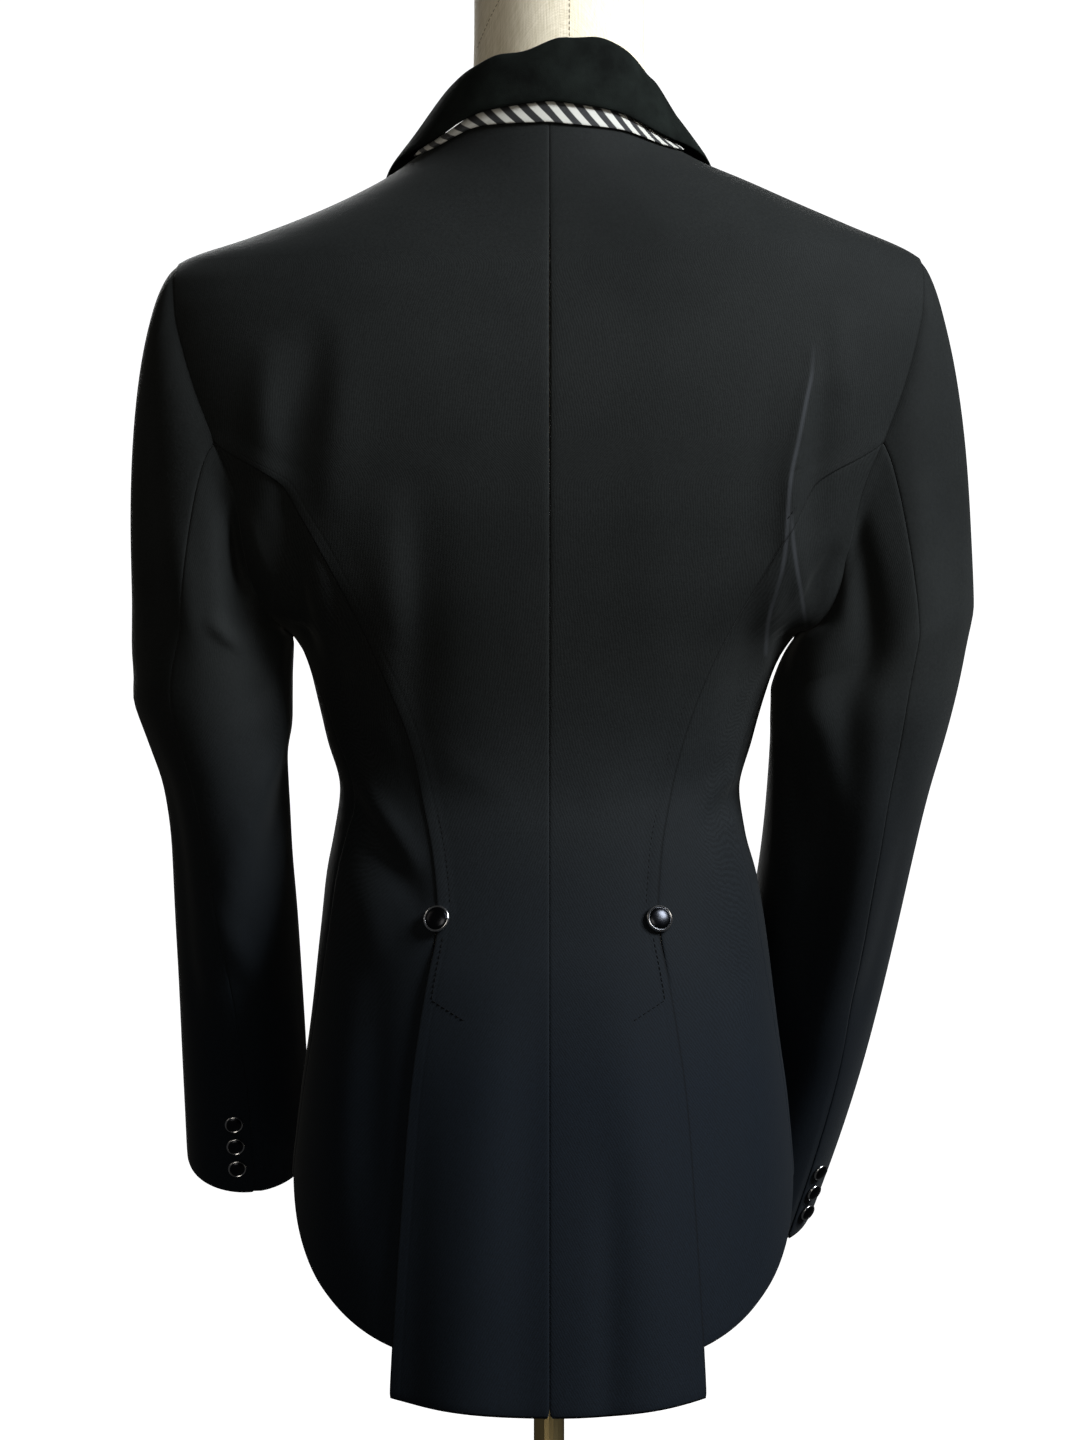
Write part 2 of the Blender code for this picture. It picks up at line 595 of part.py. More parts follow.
def front_edge_turn(height):
    """Turn of a front's free edge, which passes the centre below the break."""
    from_centre = roll_x(height)
    if height < FRONT_CORNER:
        drop = min((FRONT_CORNER - height) / (FRONT_CORNER - FRONT_HEM), 1.0)
        from_centre += CORNER_REACH * (1 - math.sqrt(max(1 - drop * drop, 0.0)))
    turn = turn_at(from_centre, height, "front")
    if from_centre < 0:
        return 2 * math.pi - turn
    return turn


def under_lap(side, place_turn, height):
    """How far the left front is pressed in where the right front covers it."""
    if side < 0 or math.cos(place_turn) > 0:
        return 0.0
    x = body_point(place_turn, height).x
    return -UNDER_LAP * step_up((0.040 - x) / 0.020)


def front_row(side, start, height):
    """One row of a front at one height, from its start turn to its free edge."""
    stop = front_edge_turn(height)
    row = []
    for i in range(FRONT_COLUMNS + 1):
        turn = start + (stop - start) * i / FRONT_COLUMNS
        row.append(cloth_point(side * turn, height, under_lap(side, turn, height)))
    return row


def front_rows(side):
    """Rows of a front panel from the hem to the neck, each from the side seam to the edge."""
    _, under_arm = armhole_place(-90)
    rows = []
    for level in side_levels():
        row = []
        for i in range(FRONT_COLUMNS + 1):
            part = i / FRONT_COLUMNS
            hem = SIDE_HEM + (FRONT_HEM - SIDE_HEM) * part
            height = hem + (under_arm - hem) * level
            start = side_seam_turn(height)
            turn = start + (front_edge_turn(height) - start) * part
            row.append(cloth_point(side * turn, height, under_lap(side, turn, height)))
        rows.append(row)
    for dial in range(-90 - ARMHOLE_STEP, -271, -ARMHOLE_STEP):
        start, height = armhole_place(dial)
        rows.append(front_row(side, start, height))
    for share in YOKE_ROWS:
        rows.append(front_row(side, math.pi / 2, shoulder_height(share)))
    return trim(rows, first=SEAM_GAP / 2)


def sleeve_ring(table, side, place, dial):
    """Point of a sleeve below its cap at a row of its table and a dial position."""
    ring = table[place]
    angle = math.radians(dial + ring.seam)
    lean = math.radians(ring.lean)
    centre = (ring.outer + ring.inner) / 2
    half = (ring.outer - ring.inner) / 2
    deep = ring.half_depth * math.cos(angle)
    x = centre + half * math.sin(angle)
    y = ring.centre_y + deep * math.cos(lean)
    z = ring.height - deep * math.sin(lean) + ring.tilt * math.sin(angle)
    return Vector((x * side, y, z))


def sleeve_rows(table, side, fullness):
    """Rings of a whole sleeve from the armhole to the cuff, one point for each dial step."""
    dials = list(range(0, 360, ARMHOLE_STEP))
    edge = []
    first = []
    leave = []
    for dial in dials:
        turn, height = armhole_place(dial)
        place = cloth_point(side * turn, height)
        low = 0.5 - 0.5 * math.sin(math.radians(dial))
        edge.append(place + Vector((side * (2 * SEAM_GAP + UNDERARM_GAP * low ** 3), 0, 0)))
        first.append(sleeve_ring(table, side, 0, dial))
        out = fullness * (1 - low) - UNDERARM_IN * low
        drop = HEAD_DROP * (1 - low) ** 2 + UNDERARM_DROP * low
        back = HEAD_BACK * math.cos(math.radians(dial))
        leave.append(Vector((side * out, back, -drop)))
    rows = [edge]
    for share in CAP_ROWS:
        row = []
        for start, stop, away in zip(edge, first, leave):
            settle = Vector((0, 0, -SETTLE * abs(start.z - stop.z)))
            h = share * share * (3 - 2 * share)
            lead = share * (1 - share) ** 2
            trail = share * share * (share - 1)
            row.append(start + (stop - start) * h + away * lead * 2 + settle * trail)
        rows.append(row)
    for place in range(len(table)):
        rows.append([sleeve_ring(table, side, place, dial) for dial in dials])
    return rows


def open_slit(rows, column):
    """Draw one edge of a sleeve piece back over its lowest rows, where the seam is open."""
    inner = 1 if column == 0 else -2
    for k in range(SLIT_ROWS):
        row = rows[-1 - k]
        away = (row[inner] - row[column]).normalized()
        row[column] += away * SLIT_WIDTH * (1 - k / SLIT_ROWS)
    return rows


def sleeve(table, side, side_name, fullness):
    """Top and under sleeve from one set of rings, with the cuff's buttons."""
    rings = sleeve_rows(table, side, fullness)
    split = FRONT_SEAM // ARMHOLE_STEP
    upper = [ring[:split + 1] for ring in rings]
    under = [ring[split:] + ring[:1] for ring in rings]
    half = SLEEVE_GAP / 2
    upper = open_slit(trim(upper, first=half, last=half), 0)
    under = open_slit(trim(under, first=half, last=half), -1)
    top = cloth("sleeve_top_" + side_name, upper, NAVY)
    cloth("sleeve_under_" + side_name, under, NAVY)
    cuff_buttons(rings, side_name, top)


def front_place(x, z, side, out):
    """Point on a front at a distance from the centre and a height, moved out."""
    turn = turn_at(x, z, "front")
    lap = under_lap(side, turn, z)
    return cloth_point(side * turn, z, out + lap)


def lapel(side, side_name):
    """Turned-back lapel: rows up the fold, each from the fold to the outer edge."""
    rows = []
    for k in range(LAPEL_ROWS + 1):
        share = k / LAPEL_ROWS
        fold_z = LAPEL_START + (LAPEL_TOP - LAPEL_START) * share
        wide = LAPEL_NARROW + (LAPEL_WIDE - LAPEL_NARROW) * math.sin(math.pi / 2 * share) ** 1.3
        row = []
        for i in range(LAPEL_COLUMNS + 1):
            part = i / LAPEL_COLUMNS
            x = roll_x(fold_z) + LAPEL_INSET + wide * part
            z = fold_z - LAPEL_DROP * share * part
            lift = LAPEL_LIFT - LAPEL_TUCK * (1 - part) ** 4
            row.append(front_place(x, z, side, lift))
        rows.append(row)
    cloth("lapel_" + side_name, rows, NAVY)


def collar_station(share):
    """Neck point, fall point, rise and lean of the collar; share runs from -1 to 1."""
    place = abs(share) * COLLAR[-1].place
    side = math.copysign(1, share)

    def value(column):
        return smooth(COLLAR, "place", column, place)

    neck_turn = side * math.radians(value("neck_turn"))
    fall_turn = side * math.radians(value("fall_turn"))
    lift = CLOTH / 2 + BAND_LIFT + BAND + BAND_LIFT + VELVET / 2
    neck = body_point(neck_turn, value("neck_z"))
    fall = body_point(fall_turn, value("fall_z")) + body_normal(fall_turn, value("fall_z")) * lift
    return neck, fall, value("rise"), value("lean")


def collar():
    """Velvet collar: the stand rises from the neck seam, turns over and falls outside."""
    rows = []
    for k in range(COLLAR_STEPS + 1):
        share = 2 * k / COLLAR_STEPS - 1
        neck, fall, rise, lean_in = collar_station(share)
        neck = neck + Vector((0, 0, VELVET))
        outward = Vector((neck.x, neck.y, 0)).normalized()
        shift = Vector((COLLAR_SHIFT * (1 - abs(share)) ** 2, 0, 0))
        lean = shift + (Vector((0, 0, rise)) - outward * lean_in) / HANDLE
        inner = neck + lean - outward * ROLL_INSIDE
        outer = neck + lean + outward * ROLL_OUTSIDE
        row = []
        for i in range(COLLAR_PROFILE + 1):
            t = i / COLLAR_PROFILE
            stand = neck * (1 - t) ** 3 + inner * 3 * t * (1 - t) ** 2
            row.append(stand + outer * 3 * t * t * (1 - t) + fall * t ** 3)
        rows.append(row)
    cloth("collar", rows, VELVET_BLACK, VELVET)


def collar_band():
    """Striped band on the back panels under the collar's fall."""
    rows = []
    out = CLOTH / 2 + BAND_LIFT + BAND / 2
    for k in range(BAND_STEPS + 1):
        share = 2 * k / BAND_STEPS - 1
        turn = math.radians(BAND_TURN) * share
        degrees = abs(share) * BAND_TURN
        fall_z = smooth(COLLAR, "fall_turn", "fall_z", degrees)
        low = fall_z - BAND_SHOWN * (1 - abs(share) ** 2.4) - BAND_END
        high = fall_z + BAND_TUCK
        rows.append([body_point(turn, z) + body_normal(turn, z) * out
                     for z in (low, (low + high) / 2, high)])
    cloth("collar_band", rows, STRIPE, BAND)


def turned(name, profile, surface, steps=TURN_STEPS):
    """Solid turned about +Z from a profile that runs from the top down the outer side."""
    shape = bmesh.new()
    made = [shape.verts.new((radius, 0, z)) for radius, z in profile]
    for upper, lower in zip(made, made[1:]):
        shape.edges.new((upper, lower))
    mesh = bpy.data.meshes.new(name)
    shape.to_mesh(mesh)
    shape.free()
    thing = add_object(name, mesh, surface)
    spin = thing.modifiers.new("turn", "SCREW")
    spin.axis = "Z"
    spin.angle = math.radians(360)
    spin.steps = steps
    spin.render_steps = steps
    spin.use_merge_vertices = True
    spin.merge_threshold = 0.0001
    return thing


def seated(place, facing, radius, carriers):
    """Place moved along facing until a disc of that radius lies just clear of the carriers."""
    depsgraph = bpy.context.evaluated_depsgraph_get()
    across = facing.orthogonal().normalized()
    around = facing.cross(across)
    samples = [place]
    for k in range(8):
        angle = math.pi / 4 * k
        samples.append(place + (across * math.cos(angle) + around * math.sin(angle)) * radius)
    highest = -SEEK
    for carrier in carriers:
        ready = carrier.evaluated_get(depsgraph)
        for sample in samples:
            hit, point, _, _ = ready.ray_cast(sample + facing * SEEK, -facing)
            if hit:
                highest = max(highest, (point - place).dot(facing))
    return place + facing * (highest + BUTTON_GAP)


def button(name, width, place, facing, carriers):
    """Domed metal-rimmed button near a place, seated just clear of the cloth it faces from."""
    radius = width / 2
    tall = width * 0.26
    place = seated(place, facing, radius, carriers)
    profile = [
        (0.0, tall), (radius * 0.60, tall * 0.88), (radius, tall * 0.45),
        (radius * 0.94, 0.0), (0.0, 0.0),
    ]
    thing = turned(name, profile, BUTTON, 12)
    thing.location = place
    thing.rotation_mode = "QUATERNION"
    thing.rotation_quaternion = Vector((0, 0, 1)).rotation_difference(facing)
    return thing


def waist_buttons(cloths):
    """One button on each side-back seam, at the top of the vent."""
    from_centre = smooth(SIDE_BACK_SEAM, "height", "from_centre", BUTTON_HEIGHT)
    for side, side_name in ((1, "left"), (-1, "right")):
        turn = side * turn_at(from_centre, BUTTON_HEIGHT, "back")
        facing = body_normal(turn, BUTTON_HEIGHT)
        carriers = [cloths["back_" + side_name], cloths["side_" + side_name]]
        button("button_waist_" + side_name, WAIST_BUTTON, cloth_point(turn, BUTTON_HEIGHT),
               facing, carriers)


def front_buttons(carrier):
    """Closure buttons down the centre of the right front."""
    for k, height in enumerate(FRONT_BUTTON_HEIGHTS):
        facing = body_normal(math.pi, height)
        button("button_front_" + str(k + 1), FRONT_BUTTON, cloth_point(math.pi, height),
               facing, [carrier])


def cuff_buttons(rings, side_name, carrier):
    """Three buttons on the top sleeve beside the slit."""
    low = rings[-1]
    high = rings[-3]
    along = high[0] - low[0]
    for k in range(3):
        share = (CUFF_BUTTON_START + CUFF_BUTTON_PITCH * k) / along.length
        edge = low[0].lerp(high[0], share)
        inner = low[1].lerp(high[1], share)
        facing = along.cross(inner - edge).normalized()
        if facing.y < 0:
            facing.negate()
        place = edge + (inner - edge).normalized() * CUFF_BUTTON_INSET
        button("button_cuff_" + side_name + "_" + str(k + 1), CUFF_BUTTON, place, facing,
               [carrier])


def dress_form():
    """Limbless form: a loft through its rings, with flat ends, and a cap on its neck."""
    rows = []
    for ring in FORM:
        rows.append([ring_point(FORM, 2 * math.pi * i / FORM_SIDES, ring.height, "square", "square")
                     for i in range(FORM_SIDES)])
    for row, ring in zip(rows, FORM):
        for i, point in enumerate(row):
            side = math.sin(2 * math.pi * i / FORM_SIDES)
            point.x += ring.shift * (1 - side * side)
    add_object("form_torso", grid_mesh("form_torso", rows, closed=True, ends=True), LINEN)
    top = FORM[-1].height + SEAM_GAP
    profile = [
        (0.0, top + CAP_HEIGHT), (CAP_RADIUS * 0.75, top + CAP_HEIGHT * 0.9),
        (CAP_RADIUS * 0.97, top + CAP_HEIGHT * 0.5), (CAP_RADIUS, top), (0.0, top),
    ]
    cap = turned("form_neck_cap", profile, LINEN)
    cap.location = (FORM[-1].shift, 0.0, 0.0)


def stand():
    """Round base with a hub, and a pole with a flange that carries the form."""
    base_profile = [
        (0.0, BASE_HEIGHT), (BASE_HUB, BASE_HEIGHT), (BASE_HUB + 0.004, BASE_HEIGHT * 0.72),
        (BASE_RADIUS * 0.9, BASE_HEIGHT * 0.50), (BASE_RADIUS, BASE_HEIGHT * 0.28),
        (BASE_RADIUS, 0.0), (0.0, 0.0),
    ]
    turned("stand_base", base_profile, STEEL, 40)
    top = FORM[0].height - SEAM_GAP
    foot = BASE_HEIGHT + SEAM_GAP
    pole_profile = [
        (0.0, top), (FLANGE_RADIUS, top), (FLANGE_RADIUS, top - FLANGE_HEIGHT),
        (POLE_RADIUS, top - FLANGE_HEIGHT * 1.5), (POLE_RADIUS, foot + 0.012),
        (POLE_RADIUS * 1.7, foot + 0.006), (POLE_RADIUS * 1.7, foot), (0.0, foot),
    ]
    turned("stand_pole", pole_profile, BRASS, 20)


clear_scene()
PIECES = bpy.data.collections.new("show_jacket_on_dress_form")
bpy.context.scene.collection.children.link(PIECES)

NAVY = material("navy_twill", 26, 28, 34, 0.55)
VELVET_BLACK = material("black_velvet", 14, 15, 15, 0.9)
STRIPE = material("striped_band", 120, 120, 120, 0.6)
BUTTON = material("dark_metal_button", 60, 62, 66, 0.3, 0.8)
LINEN = material("cream_linen", 214, 205, 184, 0.9)
BRASS = material("brass", 181, 145, 78, 0.3, 1.0)
STEEL = material("painted_steel", 40, 40, 42, 0.5)

CLOTHS = {}
for one_side, word in ((1, "left"), (-1, "right")):
    for panel, shape_rows in (("back_", back_rows), ("side_", side_rows), ("front_", front_rows)):
        CLOTHS[panel + word] = cloth(panel + word, shape_rows(one_side), NAVY)
    lapel(one_side, word)

collar()
collar_band()
sleeve(LEFT_SLEEVE, 1, "left", LEFT_FULLNESS)
sleeve(RIGHT_SLEEVE, -1, "right", RIGHT_FULLNESS)
waist_buttons(CLOTHS)
front_buttons(CLOTHS["front_right"])
dress_form()
stand()
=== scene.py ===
# Tailored show jacket for riding on a limbless dress form, finished in its cloth.
# The jacket's surface is worked out from the same sizes as its solids, with finer rows.

import math
from collections import namedtuple
from functools import partial

import bmesh
import bpy
from mathutils import Matrix, Vector


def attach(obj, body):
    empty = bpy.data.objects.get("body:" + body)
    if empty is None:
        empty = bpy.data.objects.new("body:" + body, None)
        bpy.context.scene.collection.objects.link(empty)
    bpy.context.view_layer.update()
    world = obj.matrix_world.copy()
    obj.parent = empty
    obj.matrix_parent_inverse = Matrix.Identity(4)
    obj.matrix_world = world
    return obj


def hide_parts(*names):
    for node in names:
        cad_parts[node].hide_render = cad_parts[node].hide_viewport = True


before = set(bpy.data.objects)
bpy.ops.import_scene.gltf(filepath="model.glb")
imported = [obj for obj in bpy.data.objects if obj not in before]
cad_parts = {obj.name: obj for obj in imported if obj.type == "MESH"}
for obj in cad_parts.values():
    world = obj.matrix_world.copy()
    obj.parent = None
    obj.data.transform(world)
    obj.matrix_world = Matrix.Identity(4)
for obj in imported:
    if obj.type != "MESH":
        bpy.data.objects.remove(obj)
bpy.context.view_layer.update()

SIDES = ((1, "left"), (-1, "right"))

CLOTH = 0.0016              # wall that the solids give the jacket's cloth
VELVET = 0.0022
BAND = 0.0012
THIN = 0.0012               # real thickness of the twill
SEAM_GAP = -0.0005          # room between two pieces at a seam; below 0 they run on and meet
RIGHT_SHOULDER = 0.0095     # the right shoulder stands this much higher than its table says
SHOULDER_REACH = 0.2450
NUDGE = 0.001               # step used to measure the slope of the body's surface
EVEN_STEPS = 8              # steps up and down over which the back's depth is evened out
EVEN_PITCH = 0.004
EVEN_LOW = 1.05             # heights between which it is evened out
EVEN_HIGH = 1.32
SEAM_LIP = 0.0009           # how far a back panel stands above the side panel at their seam

# The body is a stack of level rings. Each ring is two half ovals that share one width:
# "square" above 2 makes an oval fuller, "shift" carries both sides towards +X.
Ring = namedtuple("Ring", "height half_width back front back_square front_square shift")
BODY = [Ring(*row) for row in (
    (0.640, 0.1500, 0.1560, 0.1120, 2.20, 2.10, 0.0030),
    (0.740, 0.1495, 0.1480, 0.1140, 2.20, 2.10, 0.0035),
    (0.800, 0.1472, 0.1390, 0.1150, 2.20, 2.10, 0.0035),
    (0.850, 0.1425, 0.1290, 0.1145, 2.20, 2.10, 0.0030),
    (0.890, 0.1370, 0.1190, 0.1120, 2.20, 2.10, 0.0030),
    (0.950, 0.1300, 0.1020, 0.1070, 2.20, 2.10, 0.0035),
    (0.980, 0.1258, 0.0930, 0.1040, 2.20, 2.10, 0.0045),
    (1.003, 0.1205, 0.0870, 0.1010, 2.20, 2.10, 0.0055),
    (1.030, 0.1170, 0.0820, 0.0990, 2.20, 2.10, 0.0055),
    (1.056, 0.1240, 0.0830, 0.1020, 2.25, 2.10, 0.0055),
    (1.080, 0.1302, 0.0870, 0.1080, 2.30, 2.10, 0.0050),
    (1.102, 0.1370, 0.0910, 0.1160, 2.35, 2.10, 0.0040),
    (1.122, 0.1500, 0.0950, 0.1220, 2.40, 2.10, 0.0030),
    (1.1255, 0.1610, 0.0960, 0.1230, 2.40, 2.10, 0.0030),
    (1.136, 0.1780, 0.0985, 0.1255, 2.40, 2.10, 0.0025),
    (1.154, 0.1920, 0.1010, 0.1280, 2.40, 2.10, 0.0020),
    (1.200, 0.2160, 0.1060, 0.1280, 2.40, 2.10, 0.0010),
    (1.250, 0.2330, 0.1060, 0.1170, 2.40, 2.10, 0.0000),
    (1.283, 0.2365, 0.1025, 0.1060, 2.40, 2.10, 0.0000),
    (1.306, 0.2355, 0.0985, 0.0970, 2.35, 2.10, 0.0000),
    (1.323, 0.2310, 0.0945, 0.0890, 2.25, 2.05, 0.0000),
    (1.337, 0.2160, 0.0905, 0.0830, 2.15, 2.00, 0.0000),
    (1.350, 0.1790, 0.0865, 0.0785, 2.10, 2.00, 0.0000),
    (1.362, 0.1470, 0.0825, 0.0750, 2.05, 2.00, 0.0000),
    (1.375, 0.1175, 0.0780, 0.0715, 2.00, 2.00, 0.0000),
    (1.390, 0.0900, 0.0725, 0.0680, 2.00, 2.00, 0.0000),
    (1.400, 0.0780, 0.0695, 0.0660, 2.00, 2.00, 0.0000),
    (1.415, 0.0700, 0.0650, 0.0640, 2.00, 2.00, 0.0000),
    (1.440, 0.0640, 0.0590, 0.0620, 2.00, 2.00, 0.0000),
)]

# Seam between the back and side panels, then the free edge of the tail: distance from centre.
SeamPoint = namedtuple("SeamPoint", "height from_centre")
SIDE_BACK_SEAM = [SeamPoint(*row) for row in (
    (0.64, 0.089), (0.685, 0.0875), (0.745, 0.0845), (0.794, 0.0815), (0.85, 0.0775),
    (0.902, 0.0705), (0.926, 0.0665), (0.955, 0.0625), (0.991, 0.065), (1.019, 0.07), (1.05, 0.077),
    (1.078, 0.086), (1.111, 0.1), (1.135, 0.113), (1.152, 0.1225), (1.17, 0.132), (1.189, 0.1445),
    (1.204, 0.154), (1.213, 0.166), (1.22, 0.179), (1.2285, 0.1925),
)]

# Seam between the side and front panels, as a turn in degrees from centre back.
TurnPoint = namedtuple("TurnPoint", "height turn")
SIDE_SEAM = [TurnPoint(*row) for row in (
    (0.78, 82.0), (0.87, 78.0), (0.95, 72.0), (1.03, 68.0), (1.07, 72.0), (1.1, 80.0),
    (1.122, 90.0), (1.24, 90.0),
)]

# Armhole, at even steps of a dial: 90 is the shoulder tip, 0 the back, -90 under the arm.
ARMHOLE_MID = 1.2290
ARMHOLE_HALF = 0.1075
ARMHOLE_STEP = 3
ArmPoint = namedtuple("ArmPoint", "dial back_x front_x")
ARMHOLE = [ArmPoint(*row) for row in (
    (90, 0.2163, 0.2163), (75, 0.217, 0.2155), (60, 0.2175, 0.2135), (45, 0.2165, 0.2095),
    (30, 0.2115, 0.2045), (15, 0.2035, 0.1985), (0, 0.1925, 0.191), (-15, 0.181, 0.184),
    (-30, 0.1755, 0.177), (-45, 0.1715, 0.17), (-60, 0.165, 0.163), (-75, 0.156, 0.155),
    (-90, 0.15, 0.15),
)]

# Heights of the edges that the panels end on.
TAIL_HEM = 0.6785
TAIL_HEM_SIDE = 0.6870
LAP_HEM = 0.7080            # side panel's hem under the tail's edge
SIDE_HEM = 0.8020           # side panel's hem at the side seam
FRONT_HEM = 0.8100
FRONT_CORNER = 0.8700       # where the front edge's rounded corner begins
BUTTON_HEIGHT = 0.9550      # waist buttons, at the top of the vents
LIFT_FULL = 0.9150          # where the tail has come clear of the side panels
LAP_START = 0.9150
LAP_FULL = 0.8850
LAP_WIDTH = 0.0280          # how far a side panel runs under the tail
VENT_EASE = 0.0012          # extra room between the edges just below the button
TAIL_LIFT = 0.0032          # how far the tail stands off the side panels
NECK_SIDE = 1.3960
NECK_BACK = 1.4280
BREAK_HEIGHT = 1.1700       # where the lapel starts to turn back
OVERLAP = 0.0150            # each front runs this far past the centre
UNDER_LAP = 0.0028          # the left front lies this far under the right one
ROLL_TOP_X = 0.0800
LAPEL_START = 1.2100
LAPEL_TOP = 1.3560
LAPEL_LIFT = 0.0032         # how far the lapel lies off the front, less this at its fold
LAPEL_TUCK = 0.0010
LAPEL_NARROW = 0.0120       # width at the lapel's lower and upper end
LAPEL_WIDE = 0.0680
LAPEL_DROP = 0.0340         # how far its upper edge falls towards the shoulder
LAPEL_INSET = 0.0015
LAPEL_ROWS = 30
LAPEL_COLUMNS = 14
CORNER_REACH = 0.0600       # how far the front's rounded corner runs towards the side

BACK_COLUMNS = 64
FRONT_COLUMNS = 20
FINE = 3                    # each span between rows is cut in this many
SEAM_ROWS = [0.955, 0.980, 1.005, 1.030, 1.055, 1.080, 1.105, 1.130, 1.152, 1.172, 1.189,
             1.203, 1.213, 1.220, 1.2290]
TAIL_ROWS = [0.0, 0.13, 0.27, 0.41, 0.55, 0.68, 0.79, 0.90]
LAP_ROWS = [0.0, 0.14, 0.30, 0.46, 0.62, 0.75, 0.84, 0.93]
YOKE_ROWS = [0.12, 0.26, 0.42, 0.60, 0.80, 1.0]

# Soft ridges (depth above 0) and troughs (below 0) of the back and sides, each along a path of
# distances from the centre and heights. "inner" and "outer" are how far it spreads towards the
# centre and away from it.
Crease = namedtuple("Crease", "inner outer depth path")
CREASES = [Crease(*row) for row in (
    (0.016, 0.012, -0.0038, ((0.133, 1.302), (0.137, 1.27), (0.144, 1.235), (0.149, 1.205), (0.147,
     1.176))),
    (0.008, 0.012, 0.003, ((0.16, 1.29), (0.163, 1.25), (0.162, 1.215), (0.158, 1.19))),
    (0.014, 0.01, 0.002, ((0.118, 1.3), (0.12, 1.25), (0.126, 1.2), (0.122, 1.16))),
    (0.016, 0.011, -0.0028, ((0.072, 1.212), (0.073, 1.18), (0.074, 1.13), (0.081, 1.07), (0.08,
     1.01))),
    (0.01, 0.016, 0.0024, ((0.092, 1.2), (0.09, 1.15), (0.088, 1.1), (0.084, 1.05))),
    (0.007, 0.008, -0.0052, ((0.15, 1.18), (0.1455, 1.155), (0.144, 1.128), (0.138, 1.1))),
    (0.006, 0.007, 0.0036, ((0.1365, 1.178), (0.1335, 1.15), (0.1255, 1.115), (0.118, 1.085))),
    (0.006, 0.008, 0.003, ((0.172, 1.19), (0.166, 1.165), (0.16, 1.145))),
    (0.005, 0.005, -0.0028, ((0.158, 1.207), (0.152, 1.187), (0.15, 1.17))),
    (0.006, 0.009, -0.0044, ((0.122, 1.034), (0.108, 1.012), (0.092, 0.99), (0.076, 0.97), (0.072,
     0.958))),
    (0.006, 0.006, 0.0032, ((0.112, 1.04), (0.098, 1.018), (0.084, 0.998), (0.074, 0.982))),
    (0.006, 0.008, -0.0018, ((0.118, 1.062), (0.1, 1.05), (0.084, 1.04))),
    (0.01, 0.01, 0.0022, ((0.118, 0.985), (0.104, 0.96), (0.096, 0.93))),
    (0.0045, 0.0036, 0.003, ((-0.151, 1.292), (-0.1501, 1.2693), (-0.1467, 1.2516), (-0.1376,
     1.206), (-0.1341, 1.1603), (-0.1261, 1.1261), (-0.1256, 1.1055), (-0.125, 1.08))),
    (0.014, 0.01, 0.002, ((-0.15, 1.27), (-0.141, 1.232), (-0.136, 1.19), (-0.133, 1.154), (-0.127,
     1.115))),
    (0.012, 0.01, -0.0012, ((-0.132, 1.29), (-0.126, 1.25), (-0.12, 1.205), (-0.114, 1.16))),
    (0.006, 0.01, -0.0036, ((-0.16, 1.262), (-0.153, 1.225), (-0.1505, 1.195), (-0.149, 1.17))),
    (0.004, 0.005, 0.0034, ((-0.1376, 1.186), (-0.1387, 1.1774), (-0.141, 1.1603), (-0.1467,
     1.1329), (-0.15, 1.115))),
    (0.005, 0.006, 0.0034, ((-0.172, 1.158), (-0.16, 1.136), (-0.146, 1.118), (-0.136, 1.104))),
    (0.005, 0.006, -0.0034, ((-0.166, 1.17), (-0.155, 1.15), (-0.142, 1.132))),
    (0.01, 0.01, -0.0022, ((-0.118, 1.15), (-0.112, 1.1), (-0.104, 1.05))),
    (0.01, 0.01, 0.002, ((-0.166, 1.31), (-0.166, 1.28), (-0.168, 1.25))),
    (0.005, 0.006, 0.0024, ((-0.12, 1.046), (-0.104, 1.036), (-0.088, 1.024))),
    (0.005, 0.006, -0.0026, ((-0.12, 1.034), (-0.104, 1.022), (-0.086, 1.006))),
    (0.02, 0.02, 0.0014, ((-0.06, 1.3), (-0.062, 1.2), (-0.055, 1.08))),
    (0.007, 0.007, 0.001, ((0.062, 1.044), (0.04, 1.034), (0.018, 1.026))),
    (0.007, 0.007, 0.001, ((-0.056, 1.038), (-0.036, 1.028), (-0.018, 1.022))),
    (0.009, 0.009, -0.0018, ((-0.0345, 0.83), (-0.0335, 0.76), (-0.032, 0.66))),
    (0.02, 0.02, 0.003, ((0.03, 0.93), (0.04, 0.8), (0.05, 0.66))),
    (0.018, 0.018, 0.0026, ((-0.034, 0.93), (-0.052, 0.8), (-0.058, 0.66))),
    (0.014, 0.014, -0.0014, ((0.008, 0.92), (0.012, 0.8), (0.014, 0.66))),
    (0.011, 0.011, -0.0016, ((0.072, 0.88), (0.076, 0.78), (0.078, 0.66))),
    (0.016, 0.016, 0.003, ((0.112, 0.92), (0.12, 0.82), (0.124, 0.74))),
    (0.01, 0.01, -0.0026, ((0.098, 0.93), (0.101, 0.85), (0.102, 0.77))),
    (0.016, 0.016, 0.003, ((-0.108, 0.92), (-0.117, 0.82), (-0.122, 0.74))),
    (0.01, 0.01, -0.0016, ((-0.094, 0.92), (-0.098, 0.85), (-0.1, 0.78))),
)]

# Painted highlight along the crests of the two sharp ridges by the right armhole, where the cloth
# is stretched over them: the cloth's colour is lightened there. Height, distance from the centre
# and how strongly.
PAINTED_HIGHLIGHT_WIDTH = 0.0021
PAINTED_HIGHLIGHTS = (
    ((1.286, 0.1508, 0.0), (1.2693, 0.1501, 0.45), (1.2516, 0.1467, 0.9), (1.2280, 0.1420, 0.8),
     (1.2060, 0.1376, 1.0), (1.1603, 0.1341, 0.9), (1.1420, 0.1300, 0.4), (1.1261, 0.1261, 0.9),
     (1.1055, 0.1256, 0.0)),
    ((1.1900, 0.1376, 0.0), (1.1774, 0.1387, 0.5), (1.1603, 0.1410, 0.8), (1.1329, 0.1467, 0.5),
     (1.1180, 0.1495, 0.0)),
)

